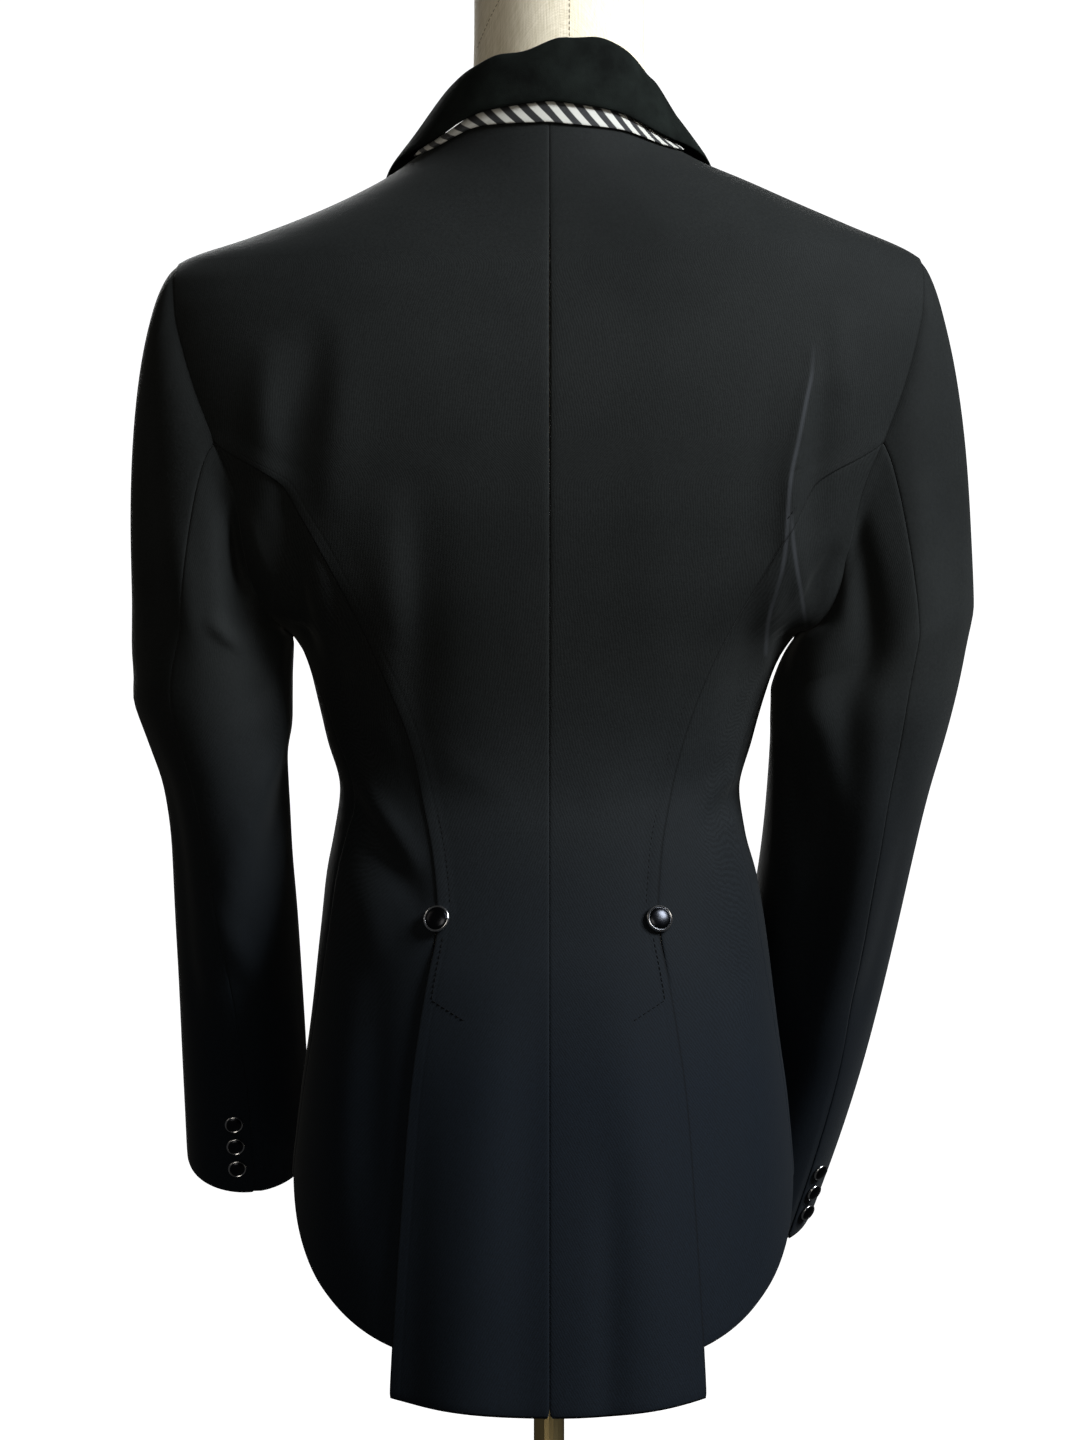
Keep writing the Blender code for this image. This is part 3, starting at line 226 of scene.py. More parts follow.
# Sleeve rings below the armhole: height and depth of the centre, outer and inner edge as
# distances from the jacket's centre, half depth, how many degrees the ring leans forward,
# and how far its outer edge is tilted up.
# "seam" is the dial position of the back seam.
SleeveRing = namedtuple("SleeveRing", "height outer inner centre_y half_depth lean tilt seam")
LEFT_SLEEVE = [SleeveRing(*row) for row in (
    (1.114, 0.2440, 0.1525, 0.004, 0.064, 0, 0.024, 17),
    (1.084, 0.2445, 0.1520, 0.006, 0.061, 2, 0.010, 26),
    (1.058, 0.2360, 0.1522, 0.004, 0.059, 8, 0.003, 26),
    (1.032, 0.2260, 0.1530, -0.001, 0.057, 12, 0.0, 24),
    (0.997, 0.2220, 0.1525, -0.012, 0.055, 18, 0.0, 18),
    (0.955, 0.2215, 0.1500, -0.032, 0.053, 22, 0.0, 9),
    (0.910, 0.2205, 0.1480, -0.052, 0.051, 24, 0.0, -1),
    (0.870, 0.2200, 0.1465, -0.070, 0.050, 24, 0.0, -7),
    (0.838, 0.2195, 0.1460, -0.085, 0.050, 24, 0.0, -9),
    (0.806, 0.2190, 0.1460, -0.099, 0.050, 24, 0.0, -10),
)]
RIGHT_SLEEVE = [SleeveRing(*row) for row in (
    (1.108, 0.2490, 0.1395, 0.003, 0.063, 0, 0.024, 20),
    (1.080, 0.2400, 0.1310, 0.003, 0.061, 4, 0.010, 24),
    (1.057, 0.2325, 0.1305, -0.003, 0.059, 11, 0.003, 25),
    (1.032, 0.2245, 0.1295, -0.012, 0.057, 17, 0.0, 25),
    (0.997, 0.2170, 0.1270, -0.029, 0.055, 23, 0.0, 25),
    (0.955, 0.2095, 0.1220, -0.056, 0.053, 28, 0.0, 27),
    (0.910, 0.2010, 0.1150, -0.084, 0.051, 31, 0.0, 29),
    (0.868, 0.1920, 0.1080, -0.109, 0.049, 31, 0.0, 32),
    (0.822, 0.1795, 0.0990, -0.133, 0.048, 31, 0.0, 33),
    (0.770, 0.1625, 0.0870, -0.158, 0.047, 31, 0.0, 34),
)]
LEFT_FULLNESS = 0.045       # how far the sleeve head swells out
RIGHT_FULLNESS = 0.033
HEAD_DROP = 0.016           # how the sleeve leaves the armhole: down at the head,
HEAD_BACK = 0.016           # backwards and forwards at the sides,
UNDERARM_IN = 0.002         # in and down under the arm
UNDERARM_DROP = 0.014
TUCK = 0.0012               # how far the sleeve's edge goes in under the armhole's edge
LEFT_INNER = 0.1514         # inner edge of each sleeve where it leaves the side under the arm
RIGHT_INNER = 0.1308
SIDE_ROOM = 0.0030          # least room between a sleeve and the side
HELD_LOW = 1.050            # heights between which a sleeve is drawn in to the side
HELD_HIGH = 1.128
SETTLE = 0.55               # how straight down the sleeve arrives at its first ring
CAP_ROWS = [0.10, 0.24, 0.42, 0.62, 0.82]
FRONT_SEAM = 195            # dial turn from the back seam to the hidden front seam
SLIT_ROWS = 9               # lowest rows, where the back seam stands open
SLIT_LAP = 0.0070           # how far the under sleeve runs on beneath the top one there
SLIT_UNDER = 0.0016

# Collar stations from centre back to its front end: the neck seam and the fall's edge as a
# turn in degrees and a height, how high the fold stands above the neck seam, and how far
# the fold leans in towards the neck.
Station = namedtuple("Station", "place neck_turn neck_z fall_turn fall_z rise lean")
COLLAR = [Station(*row) for row in (
    (0, 0, 1.4280, 0, 1.4235, 0.0360, 0.001),
    (1, 30, 1.4235, 32, 1.4180, 0.0350, 0.004),
    (2, 60, 1.4060, 61, 1.4010, 0.0350, 0.013),
    (3, 90, 1.3985, 90, 1.3915, 0.0325, 0.022),
    (4, 112, 1.3955, 110, 1.3835, 0.0265, 0.018),
    (5, 132, 1.3860, 131, 1.3680, 0.0200, 0.010),
    (6, 149, 1.3710, 146, 1.3460, 0.0100, 0.004),
)]
COLLAR_STEPS = 96
COLLAR_PROFILE = 24
COLLAR_SHIFT = -0.0080      # the fold's top leans to the wearer's right
HANDLE = 0.75               # a curve's middle reaches this share of the way to its handles
ROLL_INSIDE = 0.0040        # the fold's two handles, in from and out from the neck seam
ROLL_OUTSIDE = 0.0080
BAND_TURN = 72
BAND_STEPS = 72
BAND_LIFT = 0.0011          # extra height of the band over the curve of the neck
BAND_SHOWN = 0.0105         # how much of it shows under the fall at the centre,
BAND_END = 0.0010           # at its ends,
BAND_TUCK = 0.0030          # and how much is hidden

# Dress form: level rings, smaller than the jacket except where it rests, at the shoulders.
FormRing = namedtuple("FormRing", "height half_width back front square shift")
FORM = [FormRing(*row) for row in (
    (0.7850, 0.1240, 0.1160, 0.0960, 2.20, 0.002),
    (0.7950, 0.1290, 0.1200, 0.0995, 2.20, 0.002),
    (0.8400, 0.1300, 0.1170, 0.1005, 2.20, 0.002),
    (0.8900, 0.1250, 0.1060, 0.0990, 2.20, 0.002),
    (0.9500, 0.1150, 0.0870, 0.0930, 2.20, 0.003),
    (1.0000, 0.1060, 0.0740, 0.0870, 2.20, 0.004),
    (1.0300, 0.1030, 0.0690, 0.0850, 2.20, 0.004),
    (1.0700, 0.1090, 0.0710, 0.0920, 2.20, 0.004),
    (1.1220, 0.1230, 0.0810, 0.1060, 2.20, 0.002),
    (1.1800, 0.1380, 0.0910, 0.1140, 2.20, 0.001),
    (1.2400, 0.1560, 0.0930, 0.1040, 2.20, 0.000),
    (1.2900, 0.1720, 0.0880, 0.0890, 2.20, 0.000),
    (1.3200, 0.1800, 0.0820, 0.0780, 2.10, 0.000),
    (1.3370, 0.1800, 0.0790, 0.0735, 2.05, 0.000),
    (1.3460, 0.1700, 0.0775, 0.0715, 2.00, 0.000),
    (1.3540, 0.1560, 0.0765, 0.0700, 2.00, 0.000),
    (1.3620, 0.1402, 0.0755, 0.0685, 2.00, 0.000),
    (1.3700, 0.1220, 0.0730, 0.0670, 2.00, 0.000),
    (1.3800, 0.1025, 0.0690, 0.0640, 2.00, -0.001),
    (1.3900, 0.0830, 0.0630, 0.0600, 2.00, -0.002),
    (1.4000, 0.0680, 0.0580, 0.0560, 2.00, -0.004),
    (1.4150, 0.0560, 0.0520, 0.0510, 2.00, -0.006),
    (1.4400, 0.0510, 0.0490, 0.0480, 2.00, -0.006),
    (1.4800, 0.0500, 0.0490, 0.0480, 2.00, -0.006),
    (1.5080, 0.0500, 0.0490, 0.0480, 2.00, -0.006),
)]
FORM_SIDES = 64


WAIST_BUTTON = 0.0160
CUFF_BUTTON = 0.0110
FRONT_BUTTON = 0.0190
FRONT_BUTTON_HEIGHTS = [1.1450, 1.0650, 0.9850]
CUFF_BUTTON_PITCH = 0.0150
CUFF_BUTTON_START = 0.0180  # lowest cuff button above the hem
CUFF_BUTTON_INSET = 0.0095  # cuff buttons from the slit
BUTTON_GAP = 0.0003
SEEK = 0.0200               # how far off the cloth the seat of a button is looked for

# Creases of a sleeve, from one end to the other: turn about the sleeve in degrees (0 at the
# back, 90 at the outer edge) and height.
SleeveFold = namedtuple("SleeveFold", "upper_turn upper_z lower_turn lower_z width depth")
LEFT_CREASES = [SleeveFold(*row) for row in (
    (-14, 1.222, -44, 1.096, 0.0125, -0.0125),
    (-2, 1.128, -34, 1.108, 0.005, 0.0036),
    (20, 1.19, 4, 1.1, 0.01, 0.003),
    (-70, 1.13, -30, 1.07, 0.009, -0.0036),
    (-92, 1.094, 10, 0.97, 0.008, 0.0042),
    (-108, 1.07, -4, 0.938, 0.0115, -0.0048),
    (120, 1.094, 26, 1.092, 0.0042, -0.0022),
    (110, 1.08, 20, 1.076, 0.008, 0.0018),
    (80, 1.3, 60, 1.12, 0.014, 0.0024),
    (48, 1.26, 38, 1.11, 0.011, -0.0026),
    (60, 1.07, 42, 0.88, 0.012, -0.0024),
    (30, 0.96, -50, 0.9, 0.01, 0.0024),
    (20, 0.93, -60, 0.872, 0.01, -0.0022),
    (70, 0.94, 20, 0.89, 0.011, -0.0016),
)]
RIGHT_CREASES = [SleeveFold(*row) for row in (
    (-14, 1.262, -18, 0.76, 0.02, -0.0105),
    (-30, 1.195, -8, 1.085, 0.0105, -0.0058),
    (20, 1.215, 16, 1.095, 0.011, 0.0034),
    (-52, 1.118, -4, 1.0, 0.009, 0.0042),
    (-76, 1.1, -30, 0.97, 0.012, -0.0052),
    (12, 1.11, 34, 1.0, 0.011, -0.0026),
    (100, 1.116, 40, 1.104, 0.007, -0.0014),
    (76, 1.3, 52, 1.14, 0.013, 0.0024),
    (42, 1.24, 34, 1.12, 0.01, -0.0022),
    (50, 1.04, 40, 0.87, 0.012, -0.0022),
    (14, 1.02, -8, 0.86, 0.012, 0.0026),
    (60, 0.93, 10, 0.88, 0.011, -0.0014),
)]
SLEEVE_GIRTH = 0.0500       # a sleeve's mean radius, turns a turn about it into a distance

STITCH = 0.0024             # length of a stitch, and from one stitch to the next
STITCH_PITCH = 0.0034
STITCH_THICK = 0.00044
SEAM_STITCH = 0.0070        # topstitching from the side-back seam
VENT_STITCH = 0.004675        # topstitching from the tail's free edge
STITCH_CLEAR = 0.009        # how far above the button the seam's topstitching starts,
STITCH_TOP = 1.2230         # where it ends, and in how many steps it is laid
SEAM_STEPS = 90
VENT_TURN = 0.9090          # where the vent's topstitching turns towards the centre
VENT_END = (0.0423, 0.8947)
NECK_SEAM = ((-0.0118, 1.420), (-0.0118, 1.506))
NECK_DART = ((0.0420, 1.462), (0.0200, 1.500))
NECK_BOW = 0.003
NECK_STEPS = 40
STITCH_STEPS = 240          # samples along a line of stitches before they are spaced

TWILL_PITCH = 0.0016        # from one rib of the twill to the next, coarse enough to show
LINEN_PITCH = 0.0009        # from one linen thread to the next
STRIPE_PITCH = 0.0110       # from one stripe of the band to the next
STRIPE_LEAN = -0.66         # sideways run of a stripe for each metre of height
RIB_PITCH = 0.0008

PHOTO_SCALE = 1700.0        # pixels for each metre in the plane of the shoulders
PHOTO_HEIGHT = 1440.0
CAMERA_AWAY = 3.0
CAMERA_X = 0.0053
CAMERA_Z = 1.069

COLLAR_WAVE = 0.0012        # unevenness of the collar's fold
COLLAR_DIP = 0.0082         # how far the fold sinks left of the centre,
DIP_PLACE = 0.11            # where along the collar, and over what share of it
DIP_WIDTH = 0.15
BAND_TAPER = {1: 1.1, -1: 2.4}  # how the band narrows to its left and its right end
# A stitch from end to end: place along its half length, thickness, and height off the cloth.
STITCH_SHAPE = ((-1.0, 0.22, -0.2), (-0.7, 0.48, 0.25), (0.0, 0.55, 0.42), (0.7, 0.48, 0.25),
                (1.0, 0.22, -0.2))
# Half a button's section from its back to the top of its dome, in button widths: radius, height.
BUTTON_PROFILE = (
    (0.40, 0.0), (0.46, 0.010), (0.49, 0.045), (0.50, 0.095), (0.4875, 0.140), (0.465, 0.172),
    (0.44, 0.180), (0.42, 0.170), (0.405, 0.158), (0.39, 0.172), (0.35, 0.196), (0.28, 0.220),
    (0.19, 0.238), (0.09, 0.248),
)
RIM_INNER = 0.400           # the bright rim lies outside this and above the next
RIM_LOW = 0.020
BUTTON_SIDES = 40
BUTTON_SEAT = 0.45          # radius that a button is seated on, in button widths
# Softboxes: name, place, width and height, power in watts, colour.
LIGHTS = (
    ("softbox_key", (-2.5, 1.6, 3.05), (1.3, 1.3), 235.0, "F3F8FC"),
    ("softbox_camera", (0.3, 3.8, 1.5), (1.6, 1.6), 24.0, "FFF7E8"),
    ("softbox_left", (2.8, 0.6, 2.4), (1.0, 1.6), 3.0, "FFF1DC"),
    ("softbox_front", (0.6, -3.4, 2.4), (1.8, 1.4), 120.0, "FFFFFF"),
)
AIM_HEIGHT = 1.05           # what the softboxes point at
FLOOR_GLOW = 0.62
WALL_GLOW = 1.05
AIR_LIGHT = 0.04
SWEEP_SIDES = 96            # sides of the round floor, then its rings: radius and height
STAGE = ((0.001, 0.0), (1.4, 0.0), (3.0, 0.0), (6.0, 0.0), (9.0, 0.0), (11.0, 0.5), (12.0, 2.0),
         (12.4, 5.0), (12.5, 9.0))


def finer(values):
    """The same run of numbers with each span cut in FINE."""
    made = []
    for low, high in zip(values, values[1:]):
        made += [low + (high - low) * k / FINE for k in range(FINE)]
    return made + [values[-1]]


SEAM_ROWS = finer(SEAM_ROWS)
TAIL_ROWS = finer(TAIL_ROWS + [1.0])[:-1]
LAP_ROWS = finer(LAP_ROWS + [1.0])[:-1]
YOKE_ROWS = finer([0.0] + YOKE_ROWS)[1:]
CAP_ROWS = finer([0.0] + CAP_ROWS + [1.0])[1:-1]


def linear(channel):
    """One sRGB channel, 0 to 255, as a linear value."""
    value = channel / 255
    if value <= 0.04045:
        return value / 12.92
    return ((value + 0.055) / 1.055) ** 2.4


KNOWN = {}


def smooth(table, key, column, at):
    """Value of a column of a table at a key, on a monotone cubic through its rows."""
    spot = (id(table), column, at)
    if spot not in KNOWN:
        KNOWN[spot] = curve_value(table, key, column, at)
    return KNOWN[spot]


def curve_value(table, key, column, at):
    """Value of a table's column worked out from its rows."""
    keys = [getattr(row, key) for row in table]
    values = [getattr(row, column) for row in table]
    if keys[0] > keys[-1]:
        keys.reverse()
        values.reverse()
    at = min(max(at, keys[0]), keys[-1])
    last = len(keys) - 1
    i = 0
    while i < last - 1 and at > keys[i + 1]:
        i += 1

    def slope(k):
        return (values[k + 1] - values[k]) / (keys[k + 1] - keys[k])

    def tangent(k):
        if k == 0:
            return slope(0)
        if k == last:
            return slope(last - 1)
        before = slope(k - 1)
        after = slope(k)
        if before * after <= 0:
            return 0.0
        return 2 * before * after / (before + after)

    span = keys[i + 1] - keys[i]
    t = (at - keys[i]) / span
    rise = (3 - 2 * t) * t * t
    lead = t * (1 - t) ** 2
    trail = t * t * (t - 1)
    bend = span * (lead * tangent(i) + trail * tangent(i + 1))
    return values[i] + (values[i + 1] - values[i]) * rise + bend


def level(table, column, height):
    """Value of a column of a table at a height between its rows."""
    return smooth(table, "height", column, height)


def seam_at(height):
    """Distance of the side-back seam from the centre at a height."""
    return level(SIDE_BACK_SEAM, "from_centre", height)


def step_up(value):
    """Smooth step from 0 to 1 while value goes from 0 to 1."""
    t = min(max(value, 0.0), 1.0)
    return t * t * (3 - 2 * t)


def signed_power(value, power):
    """Power of a number that keeps its sign."""
    return math.copysign(abs(value) ** power, value)


def shoulder_lift(x, height):
    """How much higher the right shoulder is, fading to nothing at the chest and the neck."""
    if x >= 0:
        return 0.0
    across = math.sin(math.pi * min(-x / SHOULDER_REACH, 1.0))
    chest_fade = step_up((height - 1.22) / 0.12)
    neck_fade = step_up((1.42 - height) / 0.05)
    return RIGHT_SHOULDER * across * chest_fade * neck_fade


def ring_point(table, turn, height, back_square, front_square):
    """Point of a level ring. turn is in radians: 0 at the back, +90 degrees on the left."""
    side = math.sin(turn)
    face = math.cos(turn)
    square = level(table, back_square if face >= 0 else front_square, height)
    depth = level(table, "back" if face >= 0 else "front", height)
    x = level(table, "half_width", height) * signed_power(side, 2 / square)
    x += level(table, "shift", height) * side * side
    y = depth * signed_power(face, 2 / square)
    return Vector((x, y, height + shoulder_lift(x, height)))


def even_depth(x, height, face):
    """Depth of the back or front at a distance from the centre, averaged over heights near it."""
    total = 0.0
    weights = 0.0
    for step in range(-EVEN_STEPS, EVEN_STEPS + 1):
        at = height + step * EVEN_PITCH
        square = level(BODY, face + "_square", at)
        share = min(abs(x) / level(BODY, "half_width", at), 1.0)
        weight = math.exp(-(1.6 * step / EVEN_STEPS) ** 2)
        total += weight * level(BODY, face, at) * (1 - share ** square) ** (1 / square)
        weights += weight
    return total / weights


def body_point(turn, height):
    """Point of the jacket's middle surface before folds."""
    point = ring_point(BODY, turn, height, "back_square", "front_square")
    if EVEN_LOW < height < EVEN_HIGH:
        face = "back" if math.cos(turn) > 0 else "front"
        half = level(BODY, "half_width", height)
        share = step_up((0.96 - abs(math.sin(turn)) ** 0.85) / 0.30)
        share *= step_up((height - EVEN_LOW) / 0.03) * step_up((EVEN_HIGH - height) / 0.04)
        if share > 0:
            square = level(BODY, face + "_square", height)
            flat = half * signed_power(math.sin(turn), 2 / square)
            depth = math.copysign(even_depth(flat, height, face), math.cos(turn))
            point.y += (depth - point.y) * share
    return point


def body_normal(turn, height):
    """Direction straight out of the jacket's surface."""
    across = body_point(turn + NUDGE, height) - body_point(turn - NUDGE, height)
    up = body_point(turn, height + NUDGE) - body_point(turn, height - NUDGE)
    return up.cross(across).normalized()


def turn_at(from_centre, height, face):
    """Turn where the ring at a height is that far from the centre; face is back or front."""
    half = level(BODY, "half_width", height)
    square = level(BODY, face + "_square", height)
    turn = math.asin(min(abs(from_centre) / half, 1.0) ** (square / 2))
    if face == "front":
        turn = math.pi - turn
    return turn


def fold_lift(x, z):
    """How far the cloth of the back stands out at a place, from all its creases."""
    lift = 0.0
    for crease in CREASES:
        reach = 2.6 * max(crease.inner, crease.outer)
        if min(abs(x - px) + abs(z - pz) for px, pz in crease.path) > reach + 0.09:
            continue
        nearest = None
        passed = 0.0
        total = sum(math.dist(a, b) for a, b in zip(crease.path, crease.path[1:]))
        for (x0, z0), (x1, z1) in zip(crease.path, crease.path[1:]):
            length = math.hypot(x1 - x0, z1 - z0)
            share = ((x - x0) * (x1 - x0) + (z - z0) * (z1 - z0)) / length ** 2
            share = min(max(share, 0.0), 1.0)
            off_x = x - x0 - (x1 - x0) * share
            off_z = z - z0 - (z1 - z0) * share
            away = math.hypot(off_x, off_z)
            if nearest is None or away < nearest[0]:
                nearest = (away, off_x * math.copysign(1, x0), (passed + length * share) / total)
            passed += length
        away, outwards, along = nearest
        width = crease.outer if outwards > 0 else crease.inner
        ends = math.sin(math.pi * along) ** 0.8
        if crease.path[-1][1] < LAP_HEM and along > 0.5:
            ends = 1.0
        lift += crease.depth * ends * math.exp(-(away / width) ** 2)
    return lift


def cloth_point(turn, height, out=0.0):
    """Point of the jacket's middle surface with its folds, moved out by a distance."""
    place = body_point(turn, height)
    if math.cos(turn) > 0:
        out += fold_lift(place.x, place.z) * step_up(math.cos(turn) * 2.5)
    return place + body_normal(turn, height) * out


def trim(rows, first=0.0, last=0.0, top=0.0):
    """Move the edges of a grid of points inwards, square to each edge."""
    def pulled(edge, inner, gap):
        moved = []
        for i, point in enumerate(edge):
            along = edge[min(i + 1, len(edge) - 1)] - edge[max(i - 1, 0)]
            inward = inner[i] - point
            if along.length > 0:
                along.normalize()
                inward = inward - along * inward.dot(along)
            moved.append(point + inward.normalized() * gap)
        return moved

    rows = [list(row) for row in rows]
    if first:
        for row, point in zip(rows, pulled([r[0] for r in rows], [r[1] for r in rows], first)):
            row[0] = point
    if last:
        for row, point in zip(rows, pulled([r[-1] for r in rows], [r[-2] for r in rows], last)):
            row[-1] = point
    if top:
        rows[-1] = pulled(rows[-1], rows[-2], top)
    return rows


def armhole_place(dial):
    """Turn and height of the armhole at a dial position; beyond 90 or -90 is the front."""
    dial = (dial + 180) % 360 - 180
    face = "back"
    if dial > 90:
        dial = 180 - dial
        face = "front"
    elif dial < -90:
        dial = -180 - dial
        face = "front"
    height = ARMHOLE_MID + ARMHOLE_HALF * math.sin(math.radians(dial))
    from_centre = smooth(ARMHOLE, "dial", face + "_x", dial)
    if abs(dial) == 90:
        return math.pi / 2, height
    return turn_at(from_centre, height, face), height


def tail_lift(height):
    """How far the tail has come away from the side panels at a height."""
    return TAIL_LIFT * step_up((BUTTON_HEIGHT - height) / (BUTTON_HEIGHT - LIFT_FULL))


def shoulder_height(share):
    """Height of the shoulder seam, from the tip (0) to the neck (1)."""
    tip = ARMHOLE_MID + ARMHOLE_HALF
    return tip + (NECK_SIDE - tip) * share


def back_share(i):
    """Place of a column across a back panel, 0 to 1, closer together towards its seam."""
    u = i / BACK_COLUMNS
    return u + 0.5 * math.sin(math.pi * u) / math.pi


def back_rows(side):
    """Rows of a back panel from the hem to the neck, each from the centre seam outwards."""
    rows = []
    half_seam = SEAM_GAP / 2
    for share in TAIL_ROWS:
        row = []
        for i in range(BACK_COLUMNS + 1):
            part = back_share(i)
            hem = TAIL_HEM + (TAIL_HEM_SIDE - TAIL_HEM) * part * part
            height = hem + (BUTTON_HEIGHT - hem) * share
            edge = turn_at(seam_at(height), height, "back")
            row.append(cloth_point(side * edge * part, height, tail_lift(height)))
        rows.append(row)
    for height in SEAM_ROWS:
        edge = turn_at(seam_at(height), height, "back")
        if height == SEAM_ROWS[-1]:
            edge, height = armhole_place(0)
        rows.append([cloth_point(side * edge * back_share(i), height,
                                 SEAM_LIP * step_up(back_share(i) * 5 - 4))
                     for i in range(BACK_COLUMNS + 1)])
    for dial in range(ARMHOLE_STEP, 91, ARMHOLE_STEP):
        edge, height = armhole_place(dial)
        rows.append([cloth_point(side * edge * back_share(i), height)
                     for i in range(BACK_COLUMNS + 1)])
    tip = ARMHOLE_MID + ARMHOLE_HALF
    for share in YOKE_ROWS:
        row = []
        for i in range(BACK_COLUMNS + 1):
            turn = math.pi / 2 * back_share(i)
            seam = shoulder_height(share)
            centre = tip + (NECK_BACK - tip) * share
            height = seam + (centre - seam) * math.cos(turn) ** 2
            row.append(cloth_point(side * turn, height))
        rows.append(row)
    return trim(rows, first=half_seam, last=half_seam)


def lap_width(height):
    """How far the side panel runs under the tail at a height."""
    return LAP_WIDTH * step_up((LAP_START - height) / (LAP_START - LAP_FULL))


def side_seam_turn(height):
    """Turn of the side seam at a height."""
    return math.radians(level(SIDE_SEAM, "turn", height))


def side_levels():
    """Rows of a side panel as shares of its height, from the hem to the armhole."""
    full = SEAM_ROWS[-1] - LAP_HEM
    low = [(BUTTON_HEIGHT - LAP_HEM) * share / full for share in LAP_ROWS]
    return low + [(height - LAP_HEM) / full for height in SEAM_ROWS]


def side_edge_turn(height):
    """Turn of the side panel's inner edge: the seam, then the underlap below the button."""
    from_centre = seam_at(height) - lap_width(height)
    from_centre += VENT_EASE * step_up((BUTTON_HEIGHT - height) / 0.008)
    return turn_at(from_centre, height, "back")


def side_hem(part):
    """Height of a side panel's hem, curving up from the tail to the side seam."""
    return LAP_HEM + (SIDE_HEM - LAP_HEM) * (0.25 * part + 0.75 * part ** 2.2)


def side_rows(side):
    """Rows of a side panel from its hem to the armhole, each from the back seam forwards."""
    dials = list(range(0, -91, -ARMHOLE_STEP))
    last = len(dials) - 1
    rows = []
    for level in side_levels():
        row = []
        for k, dial in enumerate(dials):
            top_turn, top = armhole_place(dial)
            start = side_edge_turn(top)
            top_share = (top_turn - start) / (side_seam_turn(top) - start)
            height = side_hem(k / last) + (top - side_hem(k / last)) * level
            share = k / last + (top_share - k / last) * level ** 3
            if k == 0:
                share = 0.0
            edge = side_edge_turn(height)
            turn = edge + (side_seam_turn(height) - edge) * share
            if k == 0 and level == 1:
                turn = top_turn
            row.append(cloth_point(side * turn, height))
        rows.append(row)
    return trim(rows, first=SEAM_GAP / 2, last=SEAM_GAP / 2, top=SEAM_GAP / 2)


def roll_x(height):
    """Distance of the lapel's fold from the centre; below the break it is the front edge."""
    if height <= BREAK_HEIGHT:
        return -OVERLAP
    share = (height - BREAK_HEIGHT) / (NECK_SIDE - BREAK_HEIGHT)
    return -OVERLAP + (ROLL_TOP_X + OVERLAP) * share


def front_edge_turn(height):
    """Turn of a front's free edge, which passes the centre below the break."""
    from_centre = roll_x(height)
    if height < FRONT_CORNER:
        drop = min((FRONT_CORNER - height) / (FRONT_CORNER - FRONT_HEM), 1.0)
        from_centre += CORNER_REACH * (1 - math.sqrt(max(1 - drop * drop, 0.0)))
    turn = turn_at(from_centre, height, "front")
    if from_centre < 0:
        return 2 * math.pi - turn
    return turn


def under_lap(side, place_turn, height):
    """How far the left front is pressed in where the right front covers it."""
    if side < 0 or math.cos(place_turn) > 0:
        return 0.0
    x = body_point(place_turn, height).x
    return -UNDER_LAP * step_up((0.040 - x) / 0.020)


def front_row(side, start, height):
    """One row of a front at one height, from its start turn to its free edge."""
    stop = front_edge_turn(height)
    row = []
    for i in range(FRONT_COLUMNS + 1):
        turn = start + (stop - start) * i / FRONT_COLUMNS
        row.append(cloth_point(side * turn, height, under_lap(side, turn, height)))
    return row


def front_rows(side):
    """Rows of a front panel from the hem to the neck, each from the side seam to the edge."""
    _, under_arm = armhole_place(-90)
    rows = []
    for level in side_levels():
        row = []
        for i in range(FRONT_COLUMNS + 1):
            part = i / FRONT_COLUMNS
            hem = SIDE_HEM + (FRONT_HEM - SIDE_HEM) * part
            height = hem + (under_arm - hem) * level
            start = side_seam_turn(height)
            turn = start + (front_edge_turn(height) - start) * part
            row.append(cloth_point(side * turn, height, under_lap(side, turn, height)))
        rows.append(row)
    for dial in range(-90 - ARMHOLE_STEP, -271, -ARMHOLE_STEP):
        start, height = armhole_place(dial)
        rows.append(front_row(side, start, height))
    for share in YOKE_ROWS:
        rows.append(front_row(side, math.pi / 2, shoulder_height(share)))
    return trim(rows, first=SEAM_GAP / 2)


def front_place(x, z, side, out):
    """Point on a front at a distance from the centre and a height, moved out."""
    turn = turn_at(x, z, "front")
    lap = under_lap(side, turn, z)
    return cloth_point(side * turn, z, out + lap)


def collar_station(share):
    """Neck point, fall point, rise and lean of the collar; share runs from -1 to 1."""
    place = abs(share) * COLLAR[-1].place
    side = math.copysign(1, share)

    def value(column):
        return smooth(COLLAR, "place", column, place)

    neck_turn = side * math.radians(value("neck_turn"))
    fall_turn = side * math.radians(value("fall_turn"))
    lift = CLOTH / 2 + BAND_LIFT + BAND + BAND_LIFT + VELVET / 2
    neck = body_point(neck_turn, value("neck_z"))
    fall = body_point(fall_turn, value("fall_z")) + body_normal(fall_turn, value("fall_z")) * lift
    return neck, fall, value("rise"), value("lean")


def measured(row):
    """Distances along a row of points from its first."""
    run = [0.0]
    for start, stop in zip(row, row[1:]):
        run.append(run[-1] + (stop - start).length)
    return run


def finished(shape, name):
    """Smooth mesh from a shape that is built."""
    mesh = bpy.data.meshes.new(name)
    shape.to_mesh(mesh)
    shape.free()
    mesh.shade_smooth()
    return mesh


def placed(name, data):
    """Object in the scene for a mesh, a light or a camera."""
    made = bpy.data.objects.new(name, data)
    bpy.context.scene.collection.objects.link(made)
    return made


